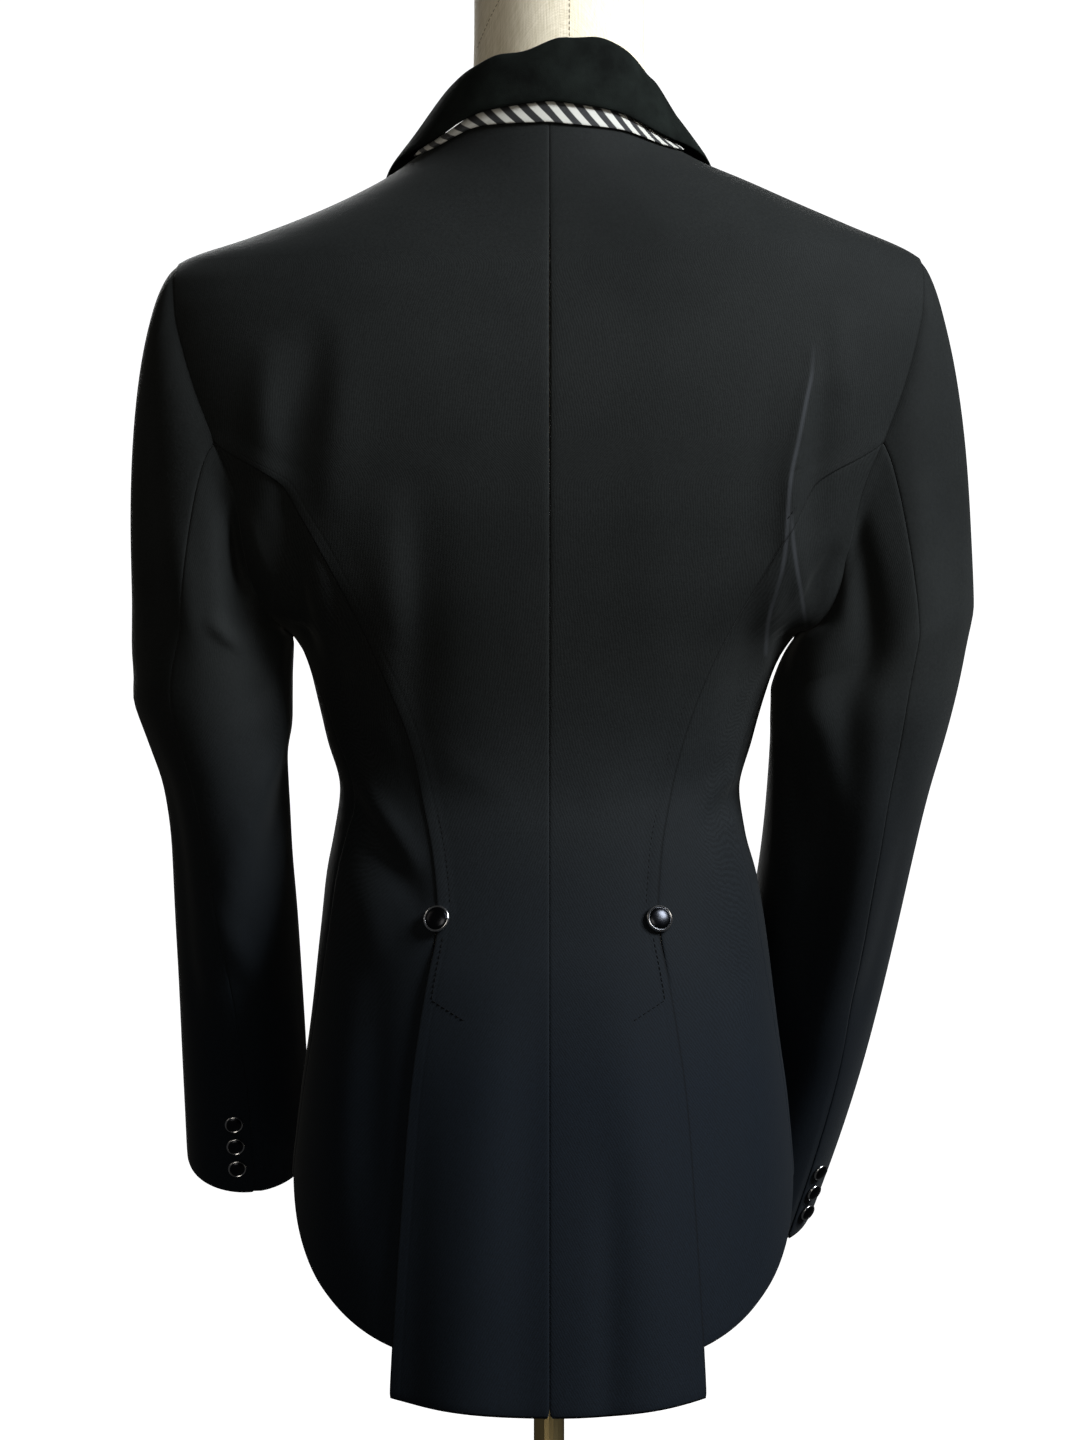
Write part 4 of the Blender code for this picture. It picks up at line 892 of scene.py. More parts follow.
def cloth_mesh(name, rows):
    """Mesh lofted through rows. Map weave is in metres of cloth; map edge is the distance from
    a row's last point and from the first row."""
    shape = bmesh.new()
    weave = shape.loops.layers.uv.new("weave")
    edge = shape.loops.layers.uv.new("edge")
    across = [measured(row) for row in rows]
    up = [measured(column) for column in zip(*rows)]
    middle = len(rows[0]) // 2
    made = [[shape.verts.new(point) for point in row] for row in rows]
    for j in range(len(rows) - 1):
        for i in range(len(rows[0]) - 1):
            corners = ((j, i), (j, i + 1), (j + 1, i + 1), (j + 1, i))
            face = shape.faces.new([made[b][a] for b, a in corners])
            for loop, (b, a) in zip(face.loops, corners):
                loop[weave].uv = (across[b][a] - across[b][middle], up[a][b])
                loop[edge].uv = (across[b][-1] - across[b][a], up[a][b])
    bmesh.ops.recalc_face_normals(shape, faces=shape.faces)
    return finished(shape, name)


def new_piece(name, mesh, surface):
    """Object for a mesh, with its material, riding with the part."""
    piece = placed(name, mesh)
    mesh.materials.append(surface)
    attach(piece, "root")
    return piece


def cut_size(rows):
    """Width, length and area of the flat piece that rows of points were laid from."""
    width = max(measured(row)[-1] for row in rows)
    length = max(measured(column)[-1] for column in zip(*rows))
    area = 0.0
    for low, high in zip(rows, rows[1:]):
        for i in range(len(low) - 1):
            area += 0.5 * (high[i + 1] - low[i]).cross(high[i] - low[i + 1]).length
    return width, length, min(area, width * length)


def cloth(node, rows, surface, thickness=THIN):
    """Thin cloth through rows of points in place of a node, with rounded edges."""
    piece = new_piece("cloth_" + node, cloth_mesh("cloth_" + node, rows), surface)
    wall = piece.modifiers.new("wall", "SOLIDIFY")
    wall.thickness = thickness
    wall.offset = 0.0
    soft = piece.modifiers.new("soft", "SUBSURF")
    soft.levels = 1
    soft.render_levels = 1
    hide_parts(node)
    width, length, area = cut_size(rows)
    CUTS.append((node, width, length, area))
    return piece


def sleeve_point(table, side, height, dial):
    """Point of a sleeve below its cap at a height of its axis and a dial position."""
    angle = math.radians(dial + level(table, "seam", height))
    lean = math.radians(level(table, "lean", height))
    outer = level(table, "outer", height)
    inner = level(table, "inner", height)
    deep = level(table, "half_depth", height) * math.cos(angle)
    x = (outer + inner) / 2 + (outer - inner) / 2 * math.sin(angle)
    y = level(table, "centre_y", height) + deep * math.cos(lean)
    z = height - deep * math.sin(lean) + level(table, "tilt", height) * math.sin(angle)
    return Vector((x * side, y, z))


def crease_lift(creases, turn, z):
    """How far the cloth of a sleeve stands out at a turn about it and a height."""
    lift = 0.0
    turn = (turn + 180) % 360 - 180
    for fold in creases:
        start = Vector((math.radians(fold.upper_turn) * SLEEVE_GIRTH, fold.upper_z))
        run = Vector((math.radians(fold.lower_turn) * SLEEVE_GIRTH, fold.lower_z)) - start
        here = Vector((math.radians(turn) * SLEEVE_GIRTH, z)) - start
        along = here.dot(run) / run.length
        aside = (here.x * run.y - here.y * run.x) / run.length
        ends = math.sin(math.pi * min(max(along / run.length, 0.0), 1.0)) ** 0.8
        lift += fold.depth * ends * math.exp(-(aside / fold.width) ** 2)
    return lift


def held_in(point, side, place):
    """Point of a sleeve drawn in to the side under the arm; place is 0 to 1, full at 1."""
    reach = max(LEFT_INNER if side > 0 else RIGHT_INNER,
                level(BODY, "half_width", point.z)
                + side * level(BODY, "shift", point.z) + SIDE_ROOM)
    share = place * step_up((point.z - HELD_LOW) / 0.020) * step_up((HELD_HIGH - point.z) / 0.010)
    return Vector((point.x - side * max(abs(point.x) - reach, 0.0) * share, point.y, point.z))


def sleeve_rows(table, side, fullness, creases):
    """Rings of a whole sleeve from the armhole to the cuff, one point for each dial step."""
    dials = list(range(0, 360, ARMHOLE_STEP))
    top = table[0].height
    edge = []
    first = []
    leave = []
    for dial in dials:
        turn, height = armhole_place(dial)
        place = cloth_point(side * turn, height)
        low = 0.5 - 0.5 * math.sin(math.radians(dial))
        tucked = Vector((side * TUCK, 0, 0))
        edge.append(place - tucked - body_normal(side * turn, height) * TUCK * 0.4)
        first.append(sleeve_point(table, side, top, dial))
        out = fullness * (1 - low) - UNDERARM_IN * low
        drop = HEAD_DROP * (1 - low) ** 2 + UNDERARM_DROP * low
        back = HEAD_BACK * math.cos(math.radians(dial))
        leave.append(Vector((side * out, back, -drop)))
    rows = [edge]
    seams = [0.0]
    for share in CAP_ROWS:
        row = []
        for start, stop, away in zip(edge, first, leave):
            settle = Vector((0, 0, -SETTLE * abs(start.z - stop.z)))
            h = share * share * (3 - 2 * share)
            lead = share * (1 - share) ** 2
            trail = share * share * (share - 1)
            row.append(start + (stop - start) * h + away * lead * 2 + settle * trail)
        rows.append(row)
        seams.append(table[0].seam * share)
    heights = finer([ring.height for ring in table])
    for height in heights:
        rows.append([sleeve_point(table, side, height, dial) for dial in dials])
        seams.append(level(table, "seam", height))
    for k, (row, seam) in enumerate(zip(rows, seams)):
        if k == 0:
            continue
        centre = sum(row, Vector()) / len(row)
        for i, dial in enumerate(dials):
            away = (row[i] - centre).normalized()
            fade = step_up(k / 6)
            row[i] = row[i] + away * crease_lift(creases, dial + seam, row[i].z) * fade
            inward = max(-math.sin(math.radians(dial + seam)), 0.0) ** 5
            row[i] = held_in(row[i], side, inward)
    return rows


def lap_slit(rows, rings):
    """Carry an under sleeve's back edge on beneath the top sleeve over its lowest rows."""
    for k in range(SLIT_ROWS):
        row = rows[-1 - k]
        centre = sum(rings[-1 - k], Vector()) / len(rings[-1 - k])
        share = 1 - k / SLIT_ROWS
        onwards = (row[-1] - row[-2]).normalized() * SLIT_LAP
        row[-1] += (onwards + (centre - row[-1]).normalized() * SLIT_UNDER) * share
        row[-2] += (centre - row[-2]).normalized() * SLIT_UNDER * 0.6 * share
    return rows


def sleeve(table, side, side_name, fullness, creases):
    """Top and under sleeve from one set of rings, with the cuff's buttons."""
    rings = sleeve_rows(table, side, fullness, creases)
    split = FRONT_SEAM // ARMHOLE_STEP
    upper = [ring[:split + 1] for ring in rings]
    under = [ring[split:] + ring[:1] for ring in rings]
    half = SEAM_GAP / 2
    upper = trim(upper, first=half, last=half)
    under = lap_slit(trim(under, first=half, last=half), rings)
    top = cloth("sleeve_top_" + side_name, upper, NAVY)
    cloth("sleeve_under_" + side_name, under, NAVY)
    cuff_buttons(rings, side_name, top)


def lapel(side, side_name):
    """Turned-back lapel: rows up the fold, each from the fold to the outer edge."""
    rows = []
    for k in range(LAPEL_ROWS + 1):
        share = k / LAPEL_ROWS
        fold_z = LAPEL_START + (LAPEL_TOP - LAPEL_START) * share
        wide = LAPEL_NARROW + (LAPEL_WIDE - LAPEL_NARROW) * math.sin(math.pi / 2 * share) ** 1.3
        row = []
        for i in range(LAPEL_COLUMNS + 1):
            part = i / LAPEL_COLUMNS
            x = roll_x(fold_z) + LAPEL_INSET + wide * part
            z = fold_z - LAPEL_DROP * share * part
            lift = LAPEL_LIFT - LAPEL_TUCK * (1 - part) ** 4
            row.append(front_place(x, z, side, lift))
        rows.append(row)
    cloth("lapel_" + side_name, rows, NAVY)


def collar():
    """Velvet collar: the stand rises from the neck seam, turns over and falls outside."""
    rows = []
    for k in range(COLLAR_STEPS + 1):
        share = 2 * k / COLLAR_STEPS - 1
        neck, fall, rise, lean_in = collar_station(share)
        neck = neck + Vector((0, 0, VELVET))
        outward = Vector((neck.x, neck.y, 0)).normalized()
        shift = Vector((COLLAR_SHIFT * (1 - abs(share)) ** 2, 0, 0))
        uneven = COLLAR_WAVE * math.sin(share * 17.0 + 0.6) * math.cos(share * 29.0)
        uneven *= 1 - share * share
        uneven -= COLLAR_DIP * math.exp(-((share - DIP_PLACE) / DIP_WIDTH) ** 2)
        lean = shift + (Vector((0, 0, rise + uneven)) - outward * lean_in) / HANDLE
        inner = neck + lean - outward * ROLL_INSIDE
        outer = neck + lean + outward * ROLL_OUTSIDE
        row = []
        for i in range(COLLAR_PROFILE + 1):
            t = i / COLLAR_PROFILE
            stand = neck * (1 - t) ** 3 + inner * 3 * t * (1 - t) ** 2
            row.append(stand + outer * 3 * t * t * (1 - t) + fall * t ** 3)
        rows.append(row)
    cloth("collar", rows, VELVET_BLACK, VELVET)


def collar_band():
    """Striped band on the back panels under the collar's fall."""
    rows = []
    out = CLOTH / 2 + BAND_LIFT + BAND / 2
    for k in range(BAND_STEPS + 1):
        share = 2 * k / BAND_STEPS - 1
        turn = math.radians(BAND_TURN) * share
        degrees = abs(share) * BAND_TURN
        fall_z = smooth(COLLAR, "fall_turn", "fall_z", degrees)
        taper = BAND_TAPER[1 if share > 0 else -1]
        low = fall_z - BAND_SHOWN * (1 - abs(share) ** taper) - BAND_END
        high = fall_z + BAND_TUCK
        levels = [low + (high - low) * t for t in (0.0, 0.25, 0.5, 0.75, 1.0)]
        rows.append([body_point(turn, z) + body_normal(turn, z) * out for z in levels])
    cloth("collar_band", rows, STRIPE, BAND * 0.8)


def dress_form():
    """Limbless form: a loft through smooth rings between the rings of its table."""
    heights = finer([ring.height for ring in FORM])
    rows = []
    for height in heights:
        row = []
        for i in range(FORM_SIDES + 1):
            turn = 2 * math.pi * (i % FORM_SIDES) / FORM_SIDES
            point = ring_point(FORM, turn, height, "square", "square")
            point.x += level(FORM, "shift", height) * math.cos(turn) ** 2
            row.append(point)
        rows.append(row)
    mesh = cloth_mesh("linen_form", rows)
    shape = bmesh.new()
    shape.from_mesh(mesh)
    bmesh.ops.remove_doubles(shape, verts=shape.verts, dist=0.00001)
    bmesh.ops.holes_fill(shape, edges=[e for e in shape.edges if e.is_boundary], sides=0)
    bmesh.ops.recalc_face_normals(shape, faces=shape.faces)
    shape.to_mesh(mesh)
    shape.free()
    mesh.set_sharp_from_angle(angle=math.radians(50))
    form = new_piece("linen_form", mesh, LINEN)
    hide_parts("form_torso")


def seated(place, facing, radius, carriers):
    """Place moved along facing until a disc of that radius lies just clear of the carriers."""
    depsgraph = bpy.context.evaluated_depsgraph_get()
    across = facing.orthogonal().normalized()
    around = facing.cross(across)
    samples = [place]
    for k in range(8):
        angle = math.pi / 4 * k
        samples.append(place + (across * math.cos(angle) + around * math.sin(angle)) * radius)
    highest = -SEEK
    for carrier in carriers:
        ready = carrier.evaluated_get(depsgraph)
        for sample in samples:
            hit, point, _, _ = ready.ray_cast(sample + facing * SEEK, -facing)
            if hit:
                highest = max(highest, (point - place).dot(facing))
    return place + facing * (highest + BUTTON_GAP)


def turned(name, profile, steps):
    """Round solid raised from a disc: its face is extruded and resized once for each ring of a
    profile of radius and height, then closed to a point. It starts at the profile's last ring."""
    bpy.ops.object.select_all(action="DESELECT")
    radius, level = profile[0]
    bpy.ops.mesh.primitive_circle_add(vertices=steps, radius=radius, fill_type="NGON",
                                      location=(0, 0, level))
    piece = bpy.context.active_object
    piece.name = name
    bpy.ops.object.mode_set(mode="EDIT")
    bpy.ops.mesh.select_mode(type="FACE")
    bpy.ops.mesh.select_all(action="SELECT")
    for wide, high in profile[1:]:
        bpy.ops.mesh.extrude_region_move(TRANSFORM_OT_translate={"value": (0, 0, high - level)})
        bpy.ops.transform.resize(value=(wide / radius, wide / radius, 1),
                                 center_override=(0, 0, high))
        radius, level = wide, high
    bpy.ops.mesh.poke()
    bpy.ops.mesh.select_all(action="SELECT")
    bpy.ops.mesh.normals_make_consistent(inside=False)
    bpy.ops.object.mode_set(mode="OBJECT")
    bpy.ops.object.transform_apply(location=True, rotation=True, scale=True)
    bpy.ops.object.shade_smooth_by_angle(angle=math.radians(42))
    return piece


def button_pattern():
    """The one button that all are copied from, 1 m across: a dark dome in a bright rim."""
    piece = turned("metal_button", BUTTON_PROFILE, BUTTON_SIDES)
    piece.data.materials.append(BUTTON_DARK)
    piece.data.materials.append(BUTTON_RIM)
    for face in piece.data.polygons:
        out = math.hypot(face.center.x, face.center.y)
        face.material_index = int(out > RIM_INNER and face.center.z > RIM_LOW)
    return piece


def button(node, width, place, facing, carriers):
    """Copy of the button at its width, seated on the cloth it faces from."""
    mesh = PATTERN.data.copy()
    turn = Vector((0, 0, 1)).rotation_difference(facing).to_matrix().to_4x4()
    turn.translation = seated(place, facing, width * BUTTON_SEAT, carriers)
    mesh.transform(turn @ Matrix.Scale(width, 4))
    piece = placed("metal_" + node, mesh)
    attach(piece, "root")
    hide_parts(node)


def waist_buttons(cloths):
    """One button on each side-back seam, at the top of the vent."""
    from_centre = seam_at(BUTTON_HEIGHT)
    for side, side_name in SIDES:
        turn = side * turn_at(from_centre, BUTTON_HEIGHT, "back")
        facing = body_normal(turn, BUTTON_HEIGHT)
        carriers = [cloths["back_" + side_name], cloths["side_" + side_name]]
        button("button_waist_" + side_name, WAIST_BUTTON, cloth_point(turn, BUTTON_HEIGHT),
               facing, carriers)


def front_buttons(carrier):
    """Closure buttons down the centre of the right front."""
    for k, height in enumerate(FRONT_BUTTON_HEIGHTS):
        facing = body_normal(math.pi, height)
        button("button_front_" + str(k + 1), FRONT_BUTTON, cloth_point(math.pi, height),
               facing, [carrier])


def cuff_buttons(rings, side_name, carrier):
    """Three buttons on the top sleeve beside the slit."""
    low = rings[-1]
    high = rings[-7]
    along = high[0] - low[0]
    for k in range(3):
        share = (CUFF_BUTTON_START + CUFF_BUTTON_PITCH * k) / along.length
        edge = low[0].lerp(high[0], share)
        inner = low[2].lerp(high[2], share)
        facing = along.cross(inner - edge).normalized()
        if facing.y < 0:
            facing.negate()
        place = edge + (inner - edge).normalized() * CUFF_BUTTON_INSET
        button("button_cuff_" + side_name + "_" + str(k + 1), CUFF_BUTTON, place, facing,
               [carrier])


def spaced(path, pitch):
    """Points and directions at even distances along a path."""
    run = measured(path)
    made = []
    reach = pitch / 2
    i = 0
    while reach < run[-1] and i < len(path) - 1:
        if run[i + 1] < reach:
            i += 1
            continue
        share = (reach - run[i]) / (run[i + 1] - run[i])
        made.append((path[i].lerp(path[i + 1], share), (path[i + 1] - path[i]).normalized()))
        reach += pitch
    return made


def stitches(name, paths):
    """Lines of short sewn stitches on the cloth, each a small bent capsule."""
    shape = bmesh.new()
    half = STITCH / 2
    for path in paths:
        points = [point for point, _ in path]
        normals = {tuple(point): normal for point, normal in path}
        for place, along in spaced(points, STITCH_PITCH):
            nearest = min(points, key=lambda p: (p - place).length_squared)
            out = normals[tuple(nearest)]
            across = along.cross(out).normalized()
            rings = []
            for step, size, rise in STITCH_SHAPE:
                centre = place + along * half * step + out * STITCH_THICK * rise
                rings.append([shape.verts.new(centre + (across * math.cos(a) + out * math.sin(a))
                                              * STITCH_THICK * size)
                              for a in (k * math.pi / 3 for k in range(6))])
            for low, high in zip(rings, rings[1:]):
                for k in range(6):
                    n = (k + 1) % 6
                    shape.faces.new((low[k], low[n], high[n], high[k]))
            shape.faces.new(list(reversed(rings[0])))
            shape.faces.new(rings[-1])
    bmesh.ops.recalc_face_normals(shape, faces=shape.faces)
    return new_piece(name, finished(shape, name), THREAD)


def surface_path(side, spots):
    """Places and normals on the back panels through spots given as distance from centre and
    height."""
    path = []
    for (x0, z0), (x1, z1) in zip(spots, spots[1:]):
        steps = max(2, int(STITCH_STEPS * math.hypot(x1 - x0, z1 - z0)))
        for k in range(steps):
            x = x0 + (x1 - x0) * k / steps
            z = z0 + (z1 - z0) * k / steps
            turn = side * turn_at(x, z, "back")
            lift = THIN / 2 + tail_lift(z) + STITCH_THICK * 0.2
            path.append((cloth_point(turn, z, lift), body_normal(turn, z)))
    return path


def seam_stitches():
    """Topstitching on the back panels beside the side-back seams and at the vents' tops."""
    for side, side_name in SIDES:
        low = BUTTON_HEIGHT + STITCH_CLEAR
        levels = [low + (STITCH_TOP - BUTTON_HEIGHT - STITCH_CLEAR) * k / SEAM_STEPS
                  for k in range(SEAM_STEPS + 1)]
        upper = [(seam_at(z) - SEAM_STITCH * (1 + 0.1 * step_up((z - 1.19) / 0.03)), z)
                 for z in levels]
        vent = [(seam_at(BUTTON_HEIGHT) - 0.003, 0.9450),
                (seam_at(VENT_TURN) - VENT_STITCH, VENT_TURN), VENT_END]
        stitches("topstitch_" + side_name, [surface_path(side, upper), surface_path(side, vent)])


def neck_seams():
    """Hand-sewn seam up the back of the form's neck and the start of a curved one beside it."""
    path = []
    ring = FORM[-2]
    for (x0, z0), (x1, z1) in (NECK_SEAM, NECK_DART):
        run = []
        for k in range(NECK_STEPS + 1):
            share = k / NECK_STEPS
            x = x0 + (x1 - x0) * share
            z = z0 + (z1 - z0) * share
            if x1 != x0:
                z += NECK_BOW * math.sin(math.pi * share)
            turn = math.asin((x - ring.shift) / ring.half_width)
            out = Vector((math.sin(turn), math.cos(turn), 0))
            run.append((Vector((x, ring.back * math.cos(turn), z)), out))
        path.append(run)
    piece = stitches("neck_stitches", path)
    piece.data.materials[0] = LINEN_THREAD


def read(source):
    """Socket that a link starts from: a socket itself, or the first of a node that is in use."""
    if isinstance(source, bpy.types.NodeSocket):
        return source
    return next(socket for socket in source.outputs if socket.enabled)


def node(tree, kind, settings=None, **links):
    """Shader node with settings by socket or property name and links from other nodes."""
    made = tree.nodes.new("ShaderNode" + kind)
    for key, value in (settings or {}).items():
        if isinstance(key, int) or key in made.inputs:
            made.inputs[key].default_value = value
        else:
            setattr(made, key, value)
    for key, source in links.items():
        place = int(key[1:]) if key[1:].isdigit() else key.replace("_", " ")
        tree.links.new(read(source), made.inputs[place])
    return made


def hex_colour(text):
    """Colour of a six-digit sRGB hex code as linear red, green, blue and alpha."""
    return tuple(linear(int(text[i:i + 2], 16)) for i in (0, 2, 4)) + (1.0,)


def surface(name, colour, roughness, **sockets):
    """Material with a Principled shader, what adds a node to it and what feeds its shader."""
    made = bpy.data.materials.new(name)
    made.use_nodes = True
    shader = made.node_tree.nodes["Principled BSDF"]
    sockets.update(Base_Color=hex_colour(colour), Roughness=roughness)
    for key, value in sockets.items():
        shader.inputs[key.replace("_", " ")].default_value = value

    def feed(**sources):
        for key, source in sources.items():
            made.node_tree.links.new(read(source), shader.inputs[key.replace("_", " ")])

    return made, partial(node, made.node_tree), feed


def shade(ramp, *ends):
    """Give both ends of a colour ramp their place and colour."""
    for end, (place, colour) in zip(ramp.color_ramp.elements, ends):
        end.position = place
        end.color = hex_colour(colour)


def wave(add, source, pitch):
    """Sine of a distance, once each pitch, from 0 to 1."""
    turned_by = add("Math", {"operation": "MULTIPLY", 1: math.tau / pitch}, _0=source)
    sine = add("Math", {"operation": "SINE"}, _0=turned_by)
    return add("Math", {"operation": "MULTIPLY_ADD", 1: 0.5, 2: 0.5}, _0=sine)


def painted_highlight_mask(add, across, height, line):
    """Mask of a painted highlight, 1 along a line of heights, distances from the centre and
    strengths, 0 beside it.
    """
    top = line[0][0]
    bottom = line[-1][0]
    share = add("MapRange", {"From Min": bottom, "From Max": top}, Value=height)
    curves = []
    for column, low, high in ((1, 0.12, 0.16), (2, 0.0, 1.0)):
        curve = add("FloatCurve", Value=share)
        points = curve.mapping.curves[0].points
        places = [((row[0] - bottom) / (top - bottom), (row[column] - low) / (high - low))
                  for row in reversed(line)]
        points[0].location = places[0]
        points[1].location = places[-1]
        for place in places[1:-1]:
            points.new(*place)
        curve.mapping.update()
        curves.append(curve)
    off = add("Math", {"operation": "MULTIPLY_ADD", 1: 0.04, 2: 0.12}, _0=curves[0])
    gap = add("Math", {"operation": "ADD"}, _0=off, _1=across)
    away = add("Math", {"operation": "ABSOLUTE"}, _0=gap)
    near = add("MapRange", {"interpolation_type": "SMOOTHERSTEP", "From Min": PAINTED_HIGHLIGHT_WIDTH,
                            "From Max": 0.0}, Value=away)
    return add("Math", {"operation": "MULTIPLY"}, _0=near, _1=curves[1])


def twill(name, stitched_and_shaded=False, highlighted=False):
    """Navy stretch twill: fine slanted ribs, a matt fibrous grain, hardly any gloss."""
    made, add, feed = surface(name, "1A1B1E", 0.80, Sheen_Weight=0.10, Sheen_Roughness=0.4,
                              Sheen_Tint=hex_colour("B2B4B2"), Specular_IOR_Level=0.10)
    darkened = {"data_type": "RGBA", "blend_type": "MULTIPLY", 0: 1.0}
    uv = add("UVMap", {"uv_map": "weave"})
    place = add("TexCoord").outputs["Object"]
    cloud = add("TexNoise", {"Scale": 9.0, "Detail": 3.0, "Roughness": 0.6}, Vector=place)
    lint = add("TexNoise", {"Scale": 620.0, "Detail": 3.0, "Roughness": 0.75}, Vector=place)
    loose = add("TexNoise", {"Scale": 160.0, "Detail": 2.0}, Vector=place)
    x, y, _ = add("SeparateXYZ", Vector=uv).outputs
    steep = add("Math", {"operation": "MULTIPLY_ADD", 1: 0.50}, _0=y, _2=x)
    slant = add("Math", {"operation": "MULTIPLY_ADD", 1: TWILL_PITCH * 1.6}, _0=loose, _2=steep)
    ribs = wave(add, slant, TWILL_PITCH)
    tone = add("ValToRGB", Fac=cloud)
    shade(tone, (0.35, "181A1A"), (0.68, "1E2020"))
    across, _, height = add("SeparateXYZ", Vector=place).outputs
    # Painted shade: below 1.10 m the cloth's colour turns darker and bluer, fully 0D131A at 0.86 m,
    # for how the light falls on the tail.
    low = add("MapRange", {"From Min": 1.10, "From Max": 0.86}, Value=height)
    tail = add("Mix", {"data_type": "RGBA", 7: hex_colour("0D131A")}, _0=low, _6=tone)
    weave = add("Math", {"operation": "MULTIPLY_ADD", 1: 0.30}, _0=ribs, _2=lint)
    grey = add("MapRange", {"From Min": 0.35, "From Max": 0.95, "To Min": 0.62, "To Max": 1.30},
               Value=weave)
    cloth_tone = add("Mix", darkened, _6=tail, _7=grey)
    # Painted highlight: the colour is lightened towards 35373A along the crests of the ridges by
    # the right armhole.
    if highlighted:
        first, second = [painted_highlight_mask(add, across, height, line) for line in PAINTED_HIGHLIGHTS]
        both = add("Math", {"operation": "MAXIMUM"}, _0=first, _1=second)
        cloth_tone = add("Mix", {"data_type": "RGBA", 7: hex_colour("35373A")}, _0=both,
                         _6=cloth_tone)
    feed(Roughness=add("MapRange", {"To Min": 0.72, "To Max": 0.88}, Value=lint))
    bump = add("Bump", {"Strength": 0.5, "Distance": 0.00020}, Height=weave)
    if stitched_and_shaded:
        far, _, _ = add("SeparateXYZ", Vector=add("UVMap", {"uv_map": "edge"})).outputs
        # Painted shadow: the colour darkens to 0.35 of itself within about 1.7 mm of the panel's
        # outer edge, along the side-back seam, the tail's free edge, the armhole and the shoulder.
        painted_seam_shadow = add("MapRange", {"From Min": 0.0004, "From Max": 0.0017, "To Min": 0.35,
                                   "To Max": 1.0}, Value=far)
        cloth_tone = add("Mix", darkened, _6=cloth_tone, _7=painted_seam_shadow)
        dent = far
        for step in ({"operation": "SUBTRACT", 1: SEAM_STITCH}, {"operation": "DIVIDE", 1: 0.0011},
                     {"operation": "POWER", 1: 2.0}, {"operation": "MULTIPLY", 1: -1.0},
                     {"operation": "EXPONENT"}):
            dent = add("Math", step, _0=dent)
        seam = add("MapRange", {"From Min": 1.226, "From Max": 1.220}, Value=height)
        shown = add("Math", {"operation": "MULTIPLY"}, _0=dent, _1=seam)
        down = add("Math", {"operation": "MULTIPLY", 1: -1.0}, _0=shown)
        bump = add("Bump", {"Strength": 0.35, "Distance": 0.0002}, Height=down, Normal=bump)
    feed(Base_Color=cloth_tone, Normal=bump)
    return made


def velvet():
    """Short black pile: no gloss face on, a pale greenish rim of light, brushed patches."""
    made, add, feed = surface("collar_velvet", "0E1110", 0.95, Sheen_Weight=0.03,
                              Sheen_Roughness=0.38, Sheen_Tint=hex_colour("8E9A94"),
                              Specular_IOR_Level=0.05)
    place = add("TexCoord").outputs["Object"]
    brushed = add("TexNoise", {"Scale": 34.0, "Detail": 4.0, "Roughness": 0.65}, Vector=place)
    pile = add("TexNoise", {"Scale": 1500.0, "Detail": 2.0, "Roughness": 0.8}, Vector=place)
    tone = add("ValToRGB", Fac=brushed)
    shade(tone, (0.36, "0D0F0E"), (0.66, "191D1B"))
    large = add("Bump", {"Strength": 0.5, "Distance": 0.0009}, Height=brushed)
    fine = add("Bump", {"Strength": 0.7, "Distance": 0.00030}, Height=pile, Normal=large)
    feed(Base_Color=tone, Normal=fine)
    return made


def striped():
    """Woven band: slanted black and white stripes across fine ribs."""
    made, add, feed = surface("band_stripe", "C9C8C2", 0.6, Sheen_Weight=0.2,
                              Specular_IOR_Level=0.4)
    x, y, _ = add("SeparateXYZ", Vector=add("UVMap", {"uv_map": "weave"})).outputs
    lean = add("Math", {"operation": "MULTIPLY_ADD", 1: STRIPE_LEAN}, _0=x, _2=y)
    stripe = wave(add, lean, STRIPE_PITCH)
    crisp = add("MapRange", {"From Min": 0.42, "From Max": 0.58}, Value=stripe)
    mixed = add("Mix", {"data_type": "RGBA", 6: hex_colour("101114"), 7: hex_colour("C4C3BC")},
                _0=crisp)
    ribs = wave(add, y, RIB_PITCH)
    fine = wave(add, x, RIB_PITCH * 0.6)
    raised = add("Math", {"operation": "ADD"}, _0=ribs, _1=fine)
    bump = add("Bump", {"Strength": 0.5, "Distance": 0.00018}, Height=raised)
    feed(Base_Color=mixed, Normal=bump)
    return made


def linen():
    """Cream linen over the form: plain weave with thick and thin threads and slubs."""
    made, add, feed = surface("form_linen", "D8CFBB", 0.85, Sheen_Weight=0.15,
                              Specular_IOR_Level=0.3)
    uv = add("UVMap", {"uv_map": "weave"})
    x, y, _ = add("SeparateXYZ", Vector=uv).outputs
    warp = wave(add, x, LINEN_PITCH)
    weft = wave(add, y, LINEN_PITCH)
    slubs = []
    for scale in ((90.0, 900.0, 1.0), (900.0, 90.0, 1.0)):
        drawn = add("Mapping", {"Scale": scale}, Vector=uv)
        slubs.append(add("TexNoise", {"Scale": 1.0, "Detail": 2.0}, Vector=drawn))
    weave = add("Math", {"operation": "MULTIPLY"}, _0=warp, _1=weft)
    both = add("Math", {"operation": "ADD"}, _0=slubs[0], _1=slubs[1])
    tone = add("MapRange", {"From Min": 0.7, "From Max": 1.3}, Value=both)
    mixed = add("Mix", {"data_type": "RGBA", 6: hex_colour("E3D8BC"), 7: hex_colour("FFF5DF")},
                _0=tone)
    raised = add("Math", {"operation": "ADD"}, _0=weave, _1=both)
    bump = add("Bump", {"Strength": 0.45, "Distance": 0.0002}, Height=raised)
    feed(Base_Color=mixed, Normal=bump)
    return made


